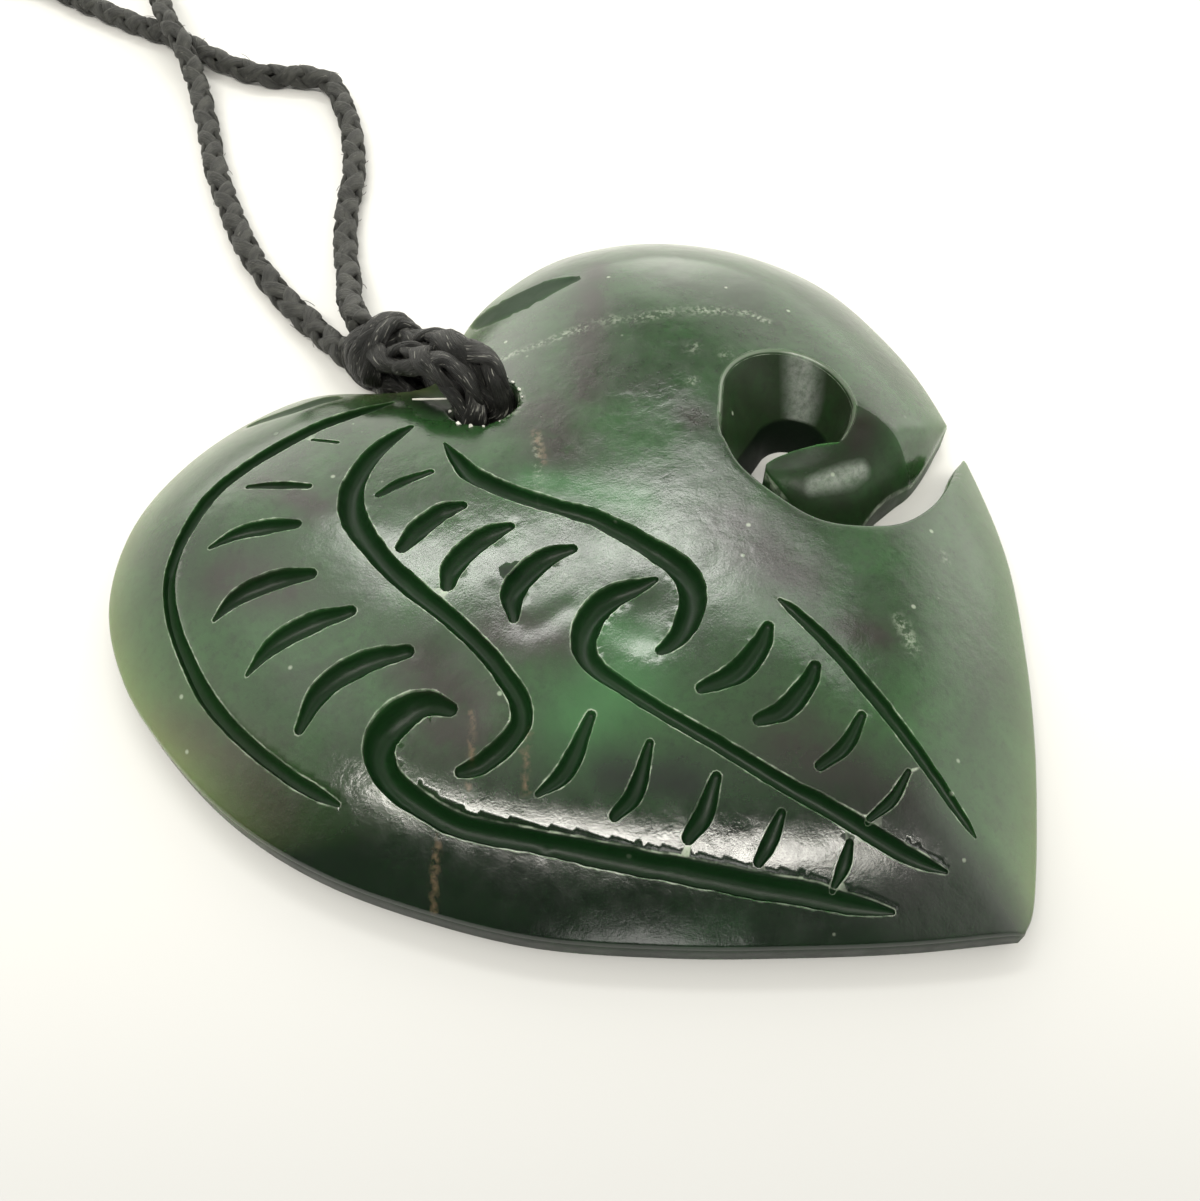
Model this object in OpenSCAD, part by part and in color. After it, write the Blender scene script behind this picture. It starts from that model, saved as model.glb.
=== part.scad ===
// Carved greenstone heart pendant on a plaited neck cord, lying on its flat back.
// Millimetres. Origin at the middle of the heart's back, +Y towards the cleft, +Z up.

/* [Heart] */
// Width of the heart across its lobes
heart_w = 60; // [57:0.5:62]
// Length of the heart from its tip to the top of its lobes
heart_h = 60; // [58:0.5:62]
// Height of the crest, the top of the near-vertical edge wall
crest_h = 2.2; // [1.8:0.1:2.8]
// Rise of the dome above the crest at the middle
dome_h = 5.6; // [4.8:0.1:6.5]
// Chamfer between the back and the edge wall
back_chamfer = 0.5; // [0.2:0.1:0.8]

/* [Spiral opening] */
// Width of the slot that winds in from the right edge, halfway along it
slot_w = 3.2; // [2.6:0.1:3.4]
// Radius of the bowl's rim on the front
bowl_r = 4.9; // [4.4:0.1:5.2]
// Radius of the hole at the bottom of the bowl
bowl_hole_r = 1.9; // [1.2:0.1:2.2]

/* [Grooves] */
// Depth of the long carved lines as a share of their width
line_depth = 0.65; // [0.4:0.05:0.9]
// Depth of the short notches as a share of their width
notch_depth = 0.6; // [0.4:0.05:0.8]

/* [Cord] */
// Diameter of the plaited cord and of each strand of the loop
cord_d = 2.2; // [1.8:0.1:2.2]
// Diameter of the cord hole in the heart
hole_d = 5; // [4.8:0.1:5.4]
// Radius of the wrapped knot behind the cleft
collar_r = 3.3; // [3.1:0.1:3.3]
// Length of the wrapped knot along the cord
collar_l = 4.2; // [3.6:0.1:4.6]
// Radius of the closure knot
closure_r = 2.3; // [2.1:0.1:2.6]
// Length of the closure knot
closure_l = 7; // [6:0.5:9]

/* [Hidden] */

wide = heart_w / 60;
tall = heart_h / 60;
cord_r = cord_d / 2;
gap = 0.1;
burr_tip_r = 0.1;
disc_h = 0.01;

// The heart's outline at the crest, from the tip round by the right lobe: [x, y].
outline_rows = [
    [0, -30], [5.2, -27.1], [10.2, -23.2], [15.2, -18.7], [20.3, -13.2], [24.8, -6.2],
    [28.3, 0.8], [30, 6.9], [30.6, 12.5], [29.6, 17.7], [27.2, 22.5], [23, 26.8],
    [17.5, 29.3], [12.5, 29.5], [7.4, 28.4], [3.1, 25.9], [0.6, 24.6], [-2.3, 26],
    [-6.8, 29.4], [-12.5, 30.2], [-18, 29.3], [-23, 26.8], [-27.1, 22.1], [-29.1, 16.2],
    [-29.4, 10], [-28.7, 4], [-26.9, -1.6], [-24, -7], [-19.9, -12.8], [-14.5, -18.2],
    [-9.5, -22.5], [-4.6, -26.4]
];

// How the front rises from the edge: [distance in from the edge, share of the dome's rise].
dome_rows = [
    [0, 0], [1, 0.14], [2, 0.27], [3.5, 0.44], [5, 0.58], [6.5, 0.70], [8, 0.78],
    [10, 0.85], [13, 0.92], [17, 0.97], [24, 1]
];

// The rings of the heart's front, as shares of the way from the edge to the middle.
ring_shares = [0.03, 0.065, 0.1, 0.14, 0.18, 0.23, 0.29, 0.36, 0.45, 0.56, 0.68, 0.82, 0.95];
middle = [0, 2];

// The slot's middle line, from outside the right edge inwards to the bowl: [x, y, share of slot_w].
slot_rows = [
    [28.4, -3.5, 0.6], [25.85, -4.47, 0.65], [24.5, -4.93, 0.63], [22.75, -5.43, 0.6],
    [21, -5.95, 0.7], [19.5, -6.3, 0.92], [17.15, -6.7, 1.12], [14.6, -6.9, 1.1],
    [12.9, -6.3, 1.05], [10.95, -4.55, 1.03], [10.35, -2, 1.01], [10.25, 0.35, 1],
    [10.6, 1.95, 0.94], [11.4, 3.5, 0.88]
];
// The bowl's round part and its side towards the slot, from the back up: [x, y, radius, z].
bowl_rows = [
    [15.83, 2.6, bowl_hole_r, 0], [15.85, 2.5, bowl_hole_r + 0.7, 2.8], [16, 3.4, bowl_r, 7.8]
];
bowl_side_rows = [[12.2, 1.8, 1.5, 0], [12.3, 1.9, 2.1, 2.8], [12.6, 2.2, 3.35, 7.8]];
// The tongue's ridge from the mouth of the slot to the tip: [x, y, radius across, top].
tongue_rows = [
    [28.4, 1.8, 12, 3.6], [24.6, 1, 8, 5.2], [22, 0.2, 6.9, 6], [20, 0.1, 7, 6.7],
    [18.6, -0.1, 7.1, 6.6], [17, -0.5, 7.5, 5.7], [15.6, -0.6, 7.2, 5.2],
    [14.4, -0.2, 5.5, 4.8], [13.4, 0.7, 4, 4.5], [12.6, 1.8, 3.2, 4.1]
];
// Where the ovals across the ridge have their middle, below the back.
ridge_base = -4;
// The tongue's tip, which the bowl leaves standing: [x, y].
tip_rows = [
    [11.8, 0], [12, 1.4], [12.5, 1.85], [13.3, 1.7], [14.5, 1.2], [15.7, 0.2], [17, -1.1],
    [17, -3], [12.5, -3]
];
// Inside the bowl and along the ridge, how far the tongue's top reaches: [x, y].
tongue_root = [
    [14, 3], [17.5, 2], [19, 0.3], [22, 0.2], [24.6, 1], [28.4, 1.8]
];

// The long carved lines, each a list of [x, y, width].
line_rows = [
    // outer line of the left lobe
    [[-3.8, 22.9, 0.5], [-6.2, 22.9, 1.3], [-14, 22.9, 1.3], [-17.9, 22.5, 1.3],
        [-20, 21.5, 1.2], [-22, 20.1, 1], [-23.7, 18.3, 0.9], [-25, 15.4, 0.9],
        [-25.8, 11.5, 1], [-25.9, 8, 0.9], [-25.3, 4, 0.8], [-24.4, 1, 0.7],
        [-23.8, -0.5, 0.3]],
    // S line that ends in the left curl
    [[-5, 18.5, 0.4], [-6.2, 18.35, 0.8], [-8, 17.9, 1], [-10, 16.85, 1],
        [-11.6, 15.5, 1.1], [-12.6, 13.7, 1.2], [-13.1, 11, 1.35], [-13.1, 7.5, 1.4],
        [-12.6, 4, 1.25], [-12.4, 0.5, 1.15], [-12.7, -2.5, 1.3], [-13.6, -4.2, 1.3],
        [-15, -4.7, 1.3], [-16.6, -4.6, 1.1], [-18, -4.05, 0.3]],
    // left curl and the line down the left edge
    [[-15.9, -1.1, 0.4], [-16.6, 0.1, 1.2], [-17.7, 0.65, 1.5], [-19, 0.7, 1.6],
        [-20.2, 0.1, 1.4], [-20.9, -1.5, 1.2], [-20.5, -3.9, 1.1], [-19.6, -6, 1.1],
        [-17.6, -8.9, 1.2], [-14.4, -12.9, 1.3], [-10.8, -17.2, 1.3], [-7.5, -21.1, 1.2],
        [-5.8, -23.2, 0.9], [-4.6, -24.6, 0.3]],
    // S line that ends in the right curl
    [[-4.4, 15.4, 0.3], [-4.65, 14, 0.9], [-4.85, 12, 1.4], [-4.4, 10, 1.35],
        [-3.5, 7.8, 1.35], [-2.2, 5.3, 1.3], [-1.1, 2.8, 1.5], [-0.4, 0, 1.55],
        [0, -2.2, 1.8], [-0.2, -3.8, 1.8], [-1.4, -5.2, 1.6], [-3.1, -6, 1.2],
        [-4.9, -6.05, 0.4]],
    // right curl and the line down the middle
    [[-1.7, -2.25, 0.5], [-2.9, -1.85, 1], [-4.2, -1.5, 1.3], [-5.7, -1.5, 1.4],
        [-7.1, -2.15, 1.4], [-8.1, -3.3, 1.2], [-8.25, -4.9, 1], [-7.5, -8.2, 0.95],
        [-6.3, -12, 1], [-5.1, -15.9, 1], [-3.9, -19, 1.05], [-2.7, -22.2, 1],
        [-1.2, -25.1, 0.3]],
    // right leg
    [[2.95, -8.1, 0.3], [3.05, -9.3, 0.8], [3, -12.2, 1], [2.6, -16, 1.05],
        [1.7, -21.5, 0.85], [1.3, -24.9, 0.3]]
];

// The short notches, each a list of [x, y, width].
notch_rows = [
    [[-16.1, 20.9, 0.3], [-14.6, 19.4, 0.6], [-13.3, 17.9, 0.4]],
    [[-20.4, 18.35, 0.3], [-18.6, 17.85, 0.8], [-16.9, 16.8, 0.8], [-15.5, 15.6, 0.3]],
    [[-22.9, 13.7, 0.3], [-21.1, 13.85, 1.1], [-18.8, 13.1, 1.1], [-16.8, 11.8, 0.4]],
    [[-23.4, 9.2, 0.3], [-21.2, 9.5, 1.1], [-18.8, 9, 1], [-16.5, 8, 0.3]],
    [[-23.2, 4.2, 0.6], [-20.6, 5.1, 1.1], [-18, 4.7, 1.1], [-15.6, 3.5, 0.5]],
    [[-10.5, 14.2, 0.3], [-8.7, 14.2, 0.7], [-6.5, 13.7, 0.3]],
    [[-11.9, 9.6, 0.5], [-10, 10.2, 1], [-8.2, 10.4, 1.1], [-6.8, 9.9, 0.3]],
    [[-11.4, 5.4, 0.5], [-10, 6.6, 1.1], [-7.4, 7, 1.1], [-5.6, 6.6, 0.3]],
    [[-9.9, 1.1, 0.4], [-8.4, 2.8, 1.2], [-5.7, 3.3, 1.1], [-3.8, 2.7, 0.4]],
    [[-4.8, -9.3, 0.4], [-2.4, -9.95, 1.1], [-0.3, -9.6, 0.8], [1.3, -8.9, 0.3]],
    [[-3.7, -12.8, 0.4], [-1.9, -13.35, 1], [0.1, -13.05, 0.8], [1.5, -12.5, 0.3]],
    [[-3, -16.9, 0.4], [-0.9, -17, 0.6], [1.2, -16.3, 0.3]],
    [[-2.7, -20.6, 0.3], [-1, -20.7, 0.5], [0.7, -20.25, 0.3]],
    [[-15.4, -7.9, 0.3], [-13.4, -7.95, 0.85], [-10.2, -6.4, 0.3]],
    [[-13.2, -11.5, 0.3], [-11.3, -11.3, 0.75], [-8.9, -9.8, 0.3]],
    [[-10.9, -14.9, 0.3], [-9.3, -14.6, 0.8], [-7.3, -13.5, 0.4]],
    [[-8.75, -18.25, 0.3], [-7.5, -17.9, 0.6], [-6, -17.25, 0.3]],
    [[-6.3, -21.7, 0.3], [-5.2, -21.3, 0.6], [-4.2, -20.7, 0.4]]
];

// Cord hole, and the shallow channel on the front that leads to it from the cleft.
hole_at = [0.1, 17.3];
front_channel_r = 2.8;
front_channel_from = [0.1, 15.5, 9.2];
front_channel_to = [0.1, 27, 4.4];
// Channel on the back that lets the strands pass while the heart lies flat.
back_channel_x = -0.25;
back_channel_l = 12;
back_channel_w = 2 * cord_d + 12 * gap;
back_channel_h = cord_d + 4 * gap;

// The wrapped knot lies on the floor behind the cleft, with its axis along Y.
collar_front = [-0.6, 26.5, collar_r + 0.05];
collar_back_y = collar_front.y + collar_l;

// One strand of the loop from the knot over the front, down the hole and back under: [y, z].
loop_rows = [
    [collar_front.y, 5], [25, 5.9], [23, 7.2], [21, 8.2], [19.2, 8.5], [17.8, 7.9],
    [17.1, 6.4], [16.9, 4.6], [17.1, 2.9], [17.9, 1.7], [19.5, 1.2], [22, 1.2],
    [24.5, 1.35], [collar_front.y, 1.7]
];

// Neck cord, left strand, over the crossing: [x, y, z].
left_route = [
    [-2.6, collar_back_y, 2.7], [-2.4, 33.3, 1.9], [-2.2, 36.6, 1.25], [-2.1, 41.6, 1.1],
    [-1.4, 47.5, 1.1], [0.2, 53.5, 1.1], [2.4, 60, 1.1], [5.3, 66.6, 1.1], [7.7, 72.5, 1.7],
    [9.1, 77.2, 3], [9.9, 81.4, 3.4], [11.6, 86, 3], [13.5, 91.5, 1.7], [16.5, 98.5, 1.1],
    [21, 107, 1.1], [27.5, 117, 1.1], [33.5, 128, 1.1], [37.5, 140.5, 1.1],
    [38.8, 153.5, 1.1], [36.5, 166.5, 1.1], [30.5, 178, 1.1], [21.5, 187, 1.3],
    [12.5, 191.6, 2], [closure_l, 192, 2.1]
];
// Neck cord, right strand, under the crossing: [x, y, z].
right_route = [
    [-1.1, collar_back_y, 4.6], [-0.4, 32.6, 4.1], [0.8, 35.7, 2.8], [2.8, 39.2, 1.7],
    [4.7, 42.7, 1.15], [7.7, 47.1, 1.1], [11.8, 52, 1.1], [15.1, 57.5, 1.1],
    [16.9, 62, 1.1], [17.6, 64.2, 1.1], [17.2, 66.1, 1.1], [15.7, 68, 1.1],
    [13.6, 70.2, 1.1], [12.2, 73.2, 1.1], [11.2, 76.9, 1.1], [10.4, 81.6, 1.1],
    [8.9, 85.9, 1.1], [7.7, 89.8, 1.1], [6.5, 94, 1.1], [5, 100, 1.1], [1.5, 107.5, 1.1],
    [-5, 116.5, 1.1], [-13, 125.5, 1.1], [-20.5, 135, 1.1], [-25.8, 146, 1.1],
    [-28, 158, 1.1], [-26.6, 170, 1.1], [-21.5, 180.5, 1.1], [-13, 188.3, 1.3],
    [-4, 191.7, 2], [0, 192, 2.1]
];
tube_sides = 8;
ring_spacing = 2.8 * cord_d;
// The closure knot joins the two strands, with its axis along X.
closure_from = [0, 192, closure_r];

// A point of the heart, stretched with the heart's width and length.
function placed(p) = [p.x * wide, p.y * tall];

// A smooth curve's point at share t of the span from b to c, with a and d on either side.
function curve_at(a, b, c, d, t) =
    (2 * b + (c - a) * t + (2 * a - 5 * b + 4 * c - d) * t * t
    + (3 * b - a - 3 * c + d) * t * t * t) / 2;
// A closed smooth curve through the points, with the given steps in each span.
function closed_curve(p, steps) = let (n = len(p)) [
    for (i = [0 : n - 1], s = [0 : steps - 1])
        let (corner_before = i == 0, corner_after = i == n - 1)
        curve_at(corner_before ? 2 * p[0] - p[1] : p[i - 1], p[i], p[(i + 1) % n],
            corner_after ? 2 * p[0] - p[i] : p[(i + 2) % n], s / steps)
];
// An open smooth curve, with a step about every spacing.
function open_curve(p, spacing) = let (n = len(p)) [
    for (i = [0 : n - 2])
        let (steps = max(1, round(norm(p[i + 1] - p[i]) / spacing)))
        for (s = [0 : steps - 1])
            curve_at(p[max(i - 1, 0)], p[i], p[i + 1], p[min(i + 2, n - 1)], s / steps),
    p[n - 1]
];

// Distance from a point to the segment a to b, and to the whole outline.
function to_segment(p, a, b) =
    let (ab = b - a, t = max(0, min(1, (p - a) * ab / (ab * ab)))) norm(p - a - t * ab);
function to_edge(p) = min([
    for (i = [0 : len(edge) - 1]) to_segment(p, edge[i], edge[(i + 1) % len(edge)])
]);
// Height of the heart's front at a point.
function front_z(p) = crest_h + dome_h * lookup(to_edge(p), dome_rows);

edge = closed_curve([for (p = outline_rows) placed(p)], 3);
sides = len(edge);
function inset(share) = [for (p = edge) p + (placed(middle) - p) * share];
function inset_by(d) = [for (p = edge) p + (placed(middle) - p) * d / norm(placed(middle) - p)];
function raised(ring, z) = [for (p = ring) [p.x, p.y, z]];

// Rings of the heart's skin from the back's edge up to the last ring of the front.
skin = [
    raised(inset_by(back_chamfer), 0),
    raised(edge, back_chamfer),
    raised(edge, crest_h - 0.25),
    raised(inset_by(0.2), crest_h + 0.05),
    for (share = ring_shares) [for (p = inset(share)) [p.x, p.y, front_z(p)]]
];

// The mean of a list of points.
function mean(p) = [for (i = [0 : len(p)]) 1] * concat(p, [p[0]]) / (len(p) + 1);

// A closed skin round rings stacked from one end to the other, each with the same count of points.
module stacked_rings(rings) {
    n = len(rings[0]);
    last = len(rings) - 1;
    first_mid = n * (last + 1);
    walls = [
        for (k = [0 : last - 1], i = [0 : n - 1])
            let (a = k * n + i, b = k * n + (i + 1) % n)
            for (face = [[a, b + n, b], [a, a + n, b + n]]) face
    ];
    ends = [
        for (i = [0 : n - 1])
            let (j = (i + 1) % n)
            for (face = [[first_mid, i, j], [first_mid + 1, last * n + j, last * n + i]]) face
    ];
    polyhedron(
        points = [for (ring = rings) each ring, mean(rings[0]), mean(rings[last])],
        faces = concat(walls, ends)
    );
}

// A tube along a curve. No tangent is parallel to flat; the ends face the given directions.
module tube(path, flat, from_dir, to_dir) {
    last = len(path) - 1;
    stacked_rings([
        for (i = [0 : last])
            let (
                along = i == 0 ? from_dir : i == last ? to_dir : path[i + 1] - path[i - 1],
                t = along / norm(along),
                across = cross(t, flat),
                side = across / norm(across),
                up = cross(t, side)
            )
            [for (k = [0 : tube_sides - 1])
                let (turn = 360 * (k + 0.5) / tube_sides)
                path[i] + cord_r * (cos(turn) * side + sin(turn) * up)]
    ]);
}

// A V-shaped carved line through rows of [x, y, width] on the front, the deeper the wider it is.
module carved_line(rows, depth_share) {
    for (i = [0 : len(rows) - 2]) hull() {
        burr(rows[i], depth_share);
        burr(rows[i + 1], depth_share);
    }
}
// The cut of a pointed burr as deep below the front as it stands above it.
module burr(row, depth_share) {
    at = placed(row);
    depth = depth_share * row[2];
    translate([at.x, at.y, front_z(at) - depth])
        cylinder(h = 2 * depth, r1 = burr_tip_r, r2 = row[2] - burr_tip_r, $fn = 6);
}

// The outline of a band along a line of [x, y, width] rows.
function band(rows) =
    let (
        last = len(rows) - 1,
        p = [for (row = rows) [row.x, row.y]],
        side = [
            for (i = [0 : last])
                let (along = p[min(i + 1, last)] - p[max(i - 1, 0)])
                [-along.y, along.x] * rows[i].z / 2 / norm(along)
        ]
    )
    concat([for (i = [0 : last]) p[i] + side[i]], [for (i = [last : -1 : 0]) p[i] - side[i]]);

module blank() {
    stacked_rings(skin);
}

// The slot, cut through from front to back.
module slot() {
    rows = [for (row = slot_rows) [row.x * wide, row.y * tall, row.z * slot_w]];
    translate([0, 0, -1])
        linear_extrude(crest_h + dome_h + 2)
            polygon(band(open_curve(rows, 1.2)));
}

// A thin disc from a [x, y, radius, z] row.
module disc(row) {
    translate([row[0] * wide, row[1] * tall, row[3] - disc_h]) cylinder(h = disc_h, r = row[2], $fn = 32);
}
// The bowl, wide on the front and narrow on the back, with the tongue's tip left standing.
module bowl() {
    difference() {
        for (k = [0 : len(bowl_rows) - 2]) hull() for (rows = [bowl_rows, bowl_side_rows]) {
            disc(rows[k]);
            disc(rows[k + 1]);
        }
        linear_extrude(crest_h + dome_h) polygon([for (p = tip_rows) placed(p)]);
    }
}

// An upright slice across the tongue's ridge, at row k of tongue_rows.
module ridge_slice(k) {
    row = tongue_rows[k];
    ahead = tongue_rows[min(k + 1, len(tongue_rows) - 1)];
    behind = tongue_rows[max(k - 1, 0)];
    translate([row[0] * wide, row[1] * tall, 0])
        rotate(atan2(behind[1] - ahead[1], behind[0] - ahead[0]))
            rotate([90, 0, 90]) linear_extrude(disc_h) intersection() {
                translate([0, ridge_base]) scale([row[2], row[3] - ridge_base])
                    circle(r = 1, $fn = 72);
                translate([-row[2], 0]) square([2 * row[2], row[3]]);
            }
}
// What comes off above the tongue, to round it down to the slot and towards its tip.
module tongue_rounding() {
    inner = [for (row = slot_rows) placed(row)];
    root = [for (p = tongue_root) placed(p)];
    difference() {
        translate([0, 0, 0.4]) linear_extrude(crest_h + dome_h) polygon(concat(inner, root));
        for (k = [0 : len(tongue_rows) - 2]) hull() {
            ridge_slice(k);
            ridge_slice(k + 1);
        }
    }
}

// The cord hole and the channels on the front and the back that lead to it from the cleft.
module cord_way() {
    hole = placed(hole_at);
    translate([hole.x, hole.y, -1]) cylinder(h = crest_h + dome_h + 4, d = hole_d, $fn = 40);
    hull() for (end = [front_channel_from, front_channel_to])
        translate([end.x, end.y * tall, end.z]) sphere(r = front_channel_r, $fn = 28);
    translate([back_channel_x, hole.y + back_channel_l / 2, back_channel_h / 2 - 0.5])
        cube([back_channel_w, back_channel_l, back_channel_h + 1], center = true);
}

module heart_stone() color([0.32, 0.44, 0.31]) difference() {
    blank();
    slot();
    bowl();
    tongue_rounding();
    cord_way();
    for (rows = line_rows) carved_line(rows, line_depth);
    for (rows = notch_rows) carved_line(rows, notch_depth);
}

// One strand of the loop; side is -1 for the left one and 1 for the right one.
module loop_strand(side) {
    hole = placed(hole_at);
    apart = side * (cord_r + gap / 2);
    path = [
        for (row = loop_rows)
            let (towards_knot = max(0, (row[0] - hole.y) / (collar_front.y - hole.y)))
            [hole.x + (collar_front.x - hole.x) * towards_knot + apart, row[0], row[1]]
    ];
    tube(open_curve(path, 2), [1, 0, 0], [0, -1, 0], [0, 1, 0]);
}
module loop_left() color([0.14, 0.13, 0.13]) loop_strand(-1);
module loop_right() color([0.14, 0.13, 0.13]) loop_strand(1);

// A round knot with flat ends and rounded rims, its axis along Z.
module knot(r, l, rim) {
    rotate_extrude() difference() {
        union() {
            square([r - rim, l]);
            translate([0, rim]) square([r, l - 2 * rim]);
            for (y = [rim, l - rim]) translate([r - rim, y]) circle(r = rim, $fn = 32);
        }
    }
}
module collar_knot() color([0.12, 0.11, 0.11])
    translate(collar_front) rotate([-90, 0, 0]) knot(collar_r, collar_l, 0.4);
module closure_knot() color([0.12, 0.11, 0.11])
    translate(closure_from) rotate([0, 90, 0]) knot(closure_r, closure_l, 0.4);

module cord_left() color([0.14, 0.13, 0.13])
    tube(open_curve(left_route, ring_spacing), [0, 0, 1], [0, 1, 0], [-1, 0, 0]);
module cord_right() color([0.14, 0.13, 0.13])
    tube(open_curve(right_route, ring_spacing), [0, 0, 1], [0, 1, 0], [1, 0, 0]);

heart_stone();
loop_left();
loop_right();
collar_knot();
cord_left();
cord_right();
closure_knot();
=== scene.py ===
import math
import random

import bmesh
import bpy
import numpy as np
from mathutils import Matrix, Vector, geometry, noise


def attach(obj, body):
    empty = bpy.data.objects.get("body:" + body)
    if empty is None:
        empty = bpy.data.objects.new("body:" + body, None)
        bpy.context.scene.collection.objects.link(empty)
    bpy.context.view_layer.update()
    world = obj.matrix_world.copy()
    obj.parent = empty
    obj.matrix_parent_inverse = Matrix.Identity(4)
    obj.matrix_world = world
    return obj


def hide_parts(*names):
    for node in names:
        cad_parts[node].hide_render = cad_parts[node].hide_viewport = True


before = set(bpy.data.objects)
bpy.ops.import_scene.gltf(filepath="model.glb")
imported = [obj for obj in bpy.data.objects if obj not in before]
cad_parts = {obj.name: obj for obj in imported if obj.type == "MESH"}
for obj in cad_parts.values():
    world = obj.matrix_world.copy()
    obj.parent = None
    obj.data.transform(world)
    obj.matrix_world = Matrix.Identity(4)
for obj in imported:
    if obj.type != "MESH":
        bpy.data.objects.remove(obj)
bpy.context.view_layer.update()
scene = bpy.context.scene
mm = 0.001  # shapes below are worked out in millimetres and made metres when a piece is finished


def toLinear(hexText):
    channels = [int(hexText[i:i + 2], 16) / 255 for i in (1, 3, 5)]
    return tuple(c / 12.92 if c <= 0.04045 else ((c + 0.055) / 1.055) ** 2.4 for c in channels) + (1.0,)


def addNode(tree, kind, inputs=None, output=0, **settings):
    # an input is given a value, a hex colour or another node's output; one output comes back
    node = tree.nodes.new("ShaderNode" + kind)
    for key, value in settings.items():
        setattr(node, key, value)
    for key, value in (inputs or {}).items():
        if isinstance(value, bpy.types.NodeSocket):
            tree.links.new(value, node.inputs[key])
        else:
            node.inputs[key].default_value = toLinear(value) if isinstance(value, str) else value
    return node.outputs[output] if node.outputs else node


def newMaterial(name):
    material = bpy.data.materials.new(name)
    material.use_nodes = True
    material.node_tree.nodes.clear()
    return material, material.node_tree


def newObject(name, bm, material):
    mesh = bpy.data.meshes.new(name)
    bm.to_mesh(mesh)
    bm.free()
    mesh.materials.append(material)
    made = bpy.data.objects.new(name, mesh)
    scene.collection.objects.link(made)
    return made


def finishPiece(name, bm, material, node):
    bmesh.ops.scale(bm, vec=(mm, mm, mm), verts=bm.verts)
    piece = newObject(name, bm, material)
    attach(piece, "root")
    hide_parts(node)
    return piece


def runLength(line):
    return np.concatenate([[0], np.cumsum(np.linalg.norm(np.diff(line, axis=0), axis=1))])


def evenRun(dense, spacing, axes):
    run = runLength(dense[:, :axes])
    at = np.linspace(0, run[-1], max(2, int(round(run[-1] / spacing))) + 1)
    return np.stack([np.interp(at, run, dense[:, k]) for k in range(dense.shape[1])], 1)


def smoothLine(rows, spacing, axes=2):
    # even steps on a smooth curve through the rows; the first columns are its place, the rest ride along
    rows = np.asarray(rows, float)
    count = len(rows)
    dense = []
    for i in range(count - 1):
        b, c = rows[i], rows[i + 1]
        a = rows[i - 1] if i else 2 * b - c
        d = rows[i + 2] if i + 2 < count else 2 * c - b
        t = np.linspace(0, 1, 24, endpoint=False)[:, None]
        dense.append((2 * b + (c - a) * t + (2 * a - 5 * b + 4 * c - d) * t ** 2
                      + (3 * b - a - 3 * c + d) * t ** 3) / 2)
    dense.append(rows[-1:])
    return evenRun(np.vstack(dense), spacing, axes)


def noiseRun(count, cell, seed):
    # one smooth value for each step of a run, about -1 to 1
    return np.array([noise.noise(Vector((i / cell, seed * 7.31, seed * 1.7))) for i in range(count)]) * 1.6


# Camera: held low over the heart's lower left side, with the wide lens of a phone.
cameraValues = {
    "at": (-30.47, -30.52, 63.53),
    "looksAlong": (0.372, 0.431, -0.822),
    "lens": 34.47,
}


def addCamera():
    data = bpy.data.cameras.new("photo_camera")
    data.sensor_width = 36
    data.lens = cameraValues["lens"]
    data.clip_start = 0.001
    camera = bpy.data.objects.new("photo_camera", data)
    camera.location = Vector(cameraValues["at"]) * mm
    camera.rotation_euler = Vector(cameraValues["looksAlong"]).to_track_quat("-Z", "Y").to_euler()
    scene.collection.objects.link(camera)
    scene.camera = camera


addCamera()
print("camera placed")


# Neck cord and loop: a round plait of four flat, waxed strands.
plaitValues = {
    "diameter": 2.2,
    "lay": 6.4,            # length in which a strand goes once round; same-side lobes are half of it apart
    "strandWidth": 1.34,
    "strandThickness": 0.76,
    "ringRadius": 0.57,
    "crossing": 0.13,      # how far the strand on top stands off the one below
    "rounded": 0.82,       # below 1 makes a strand boxier, as flat strands are
    "step": 0.36,
    "sides": 10,
}
cordValues = {
    "looseness": 1.5, "sway": 0.05,                # of the strands, and of the whole cord up and down
    "hairs": 48, "hairLength": 0.9, "hairsTo": 110,  # they stand on the near 110 mm, where they show
}
leftRoute = [
    (-2.6, 30.7, 2.7), (-2.4, 33.3, 1.9), (-2.2, 36.6, 1.25), (-2.1, 41.6, 1.1), (-1.4, 47.5, 1.1),
    (0.2, 53.5, 1.1), (2.4, 60, 1.1), (5.3, 66.6, 1.1), (7.7, 72.5, 1.7), (9.1, 77.2, 3),
    (9.9, 81.4, 3.4), (11.6, 86, 3), (13.5, 91.5, 1.7), (16.5, 98.5, 1.1), (21, 107, 1.1),
    (27.5, 117, 1.1), (33.5, 128, 1.1), (37.5, 140.5, 1.1), (38.8, 153.5, 1.1), (36.5, 166.5, 1.1),
    (30.5, 178, 1.1), (21.5, 187, 1.3), (12.5, 191.6, 2), (7, 192, 2.1),
]
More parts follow.
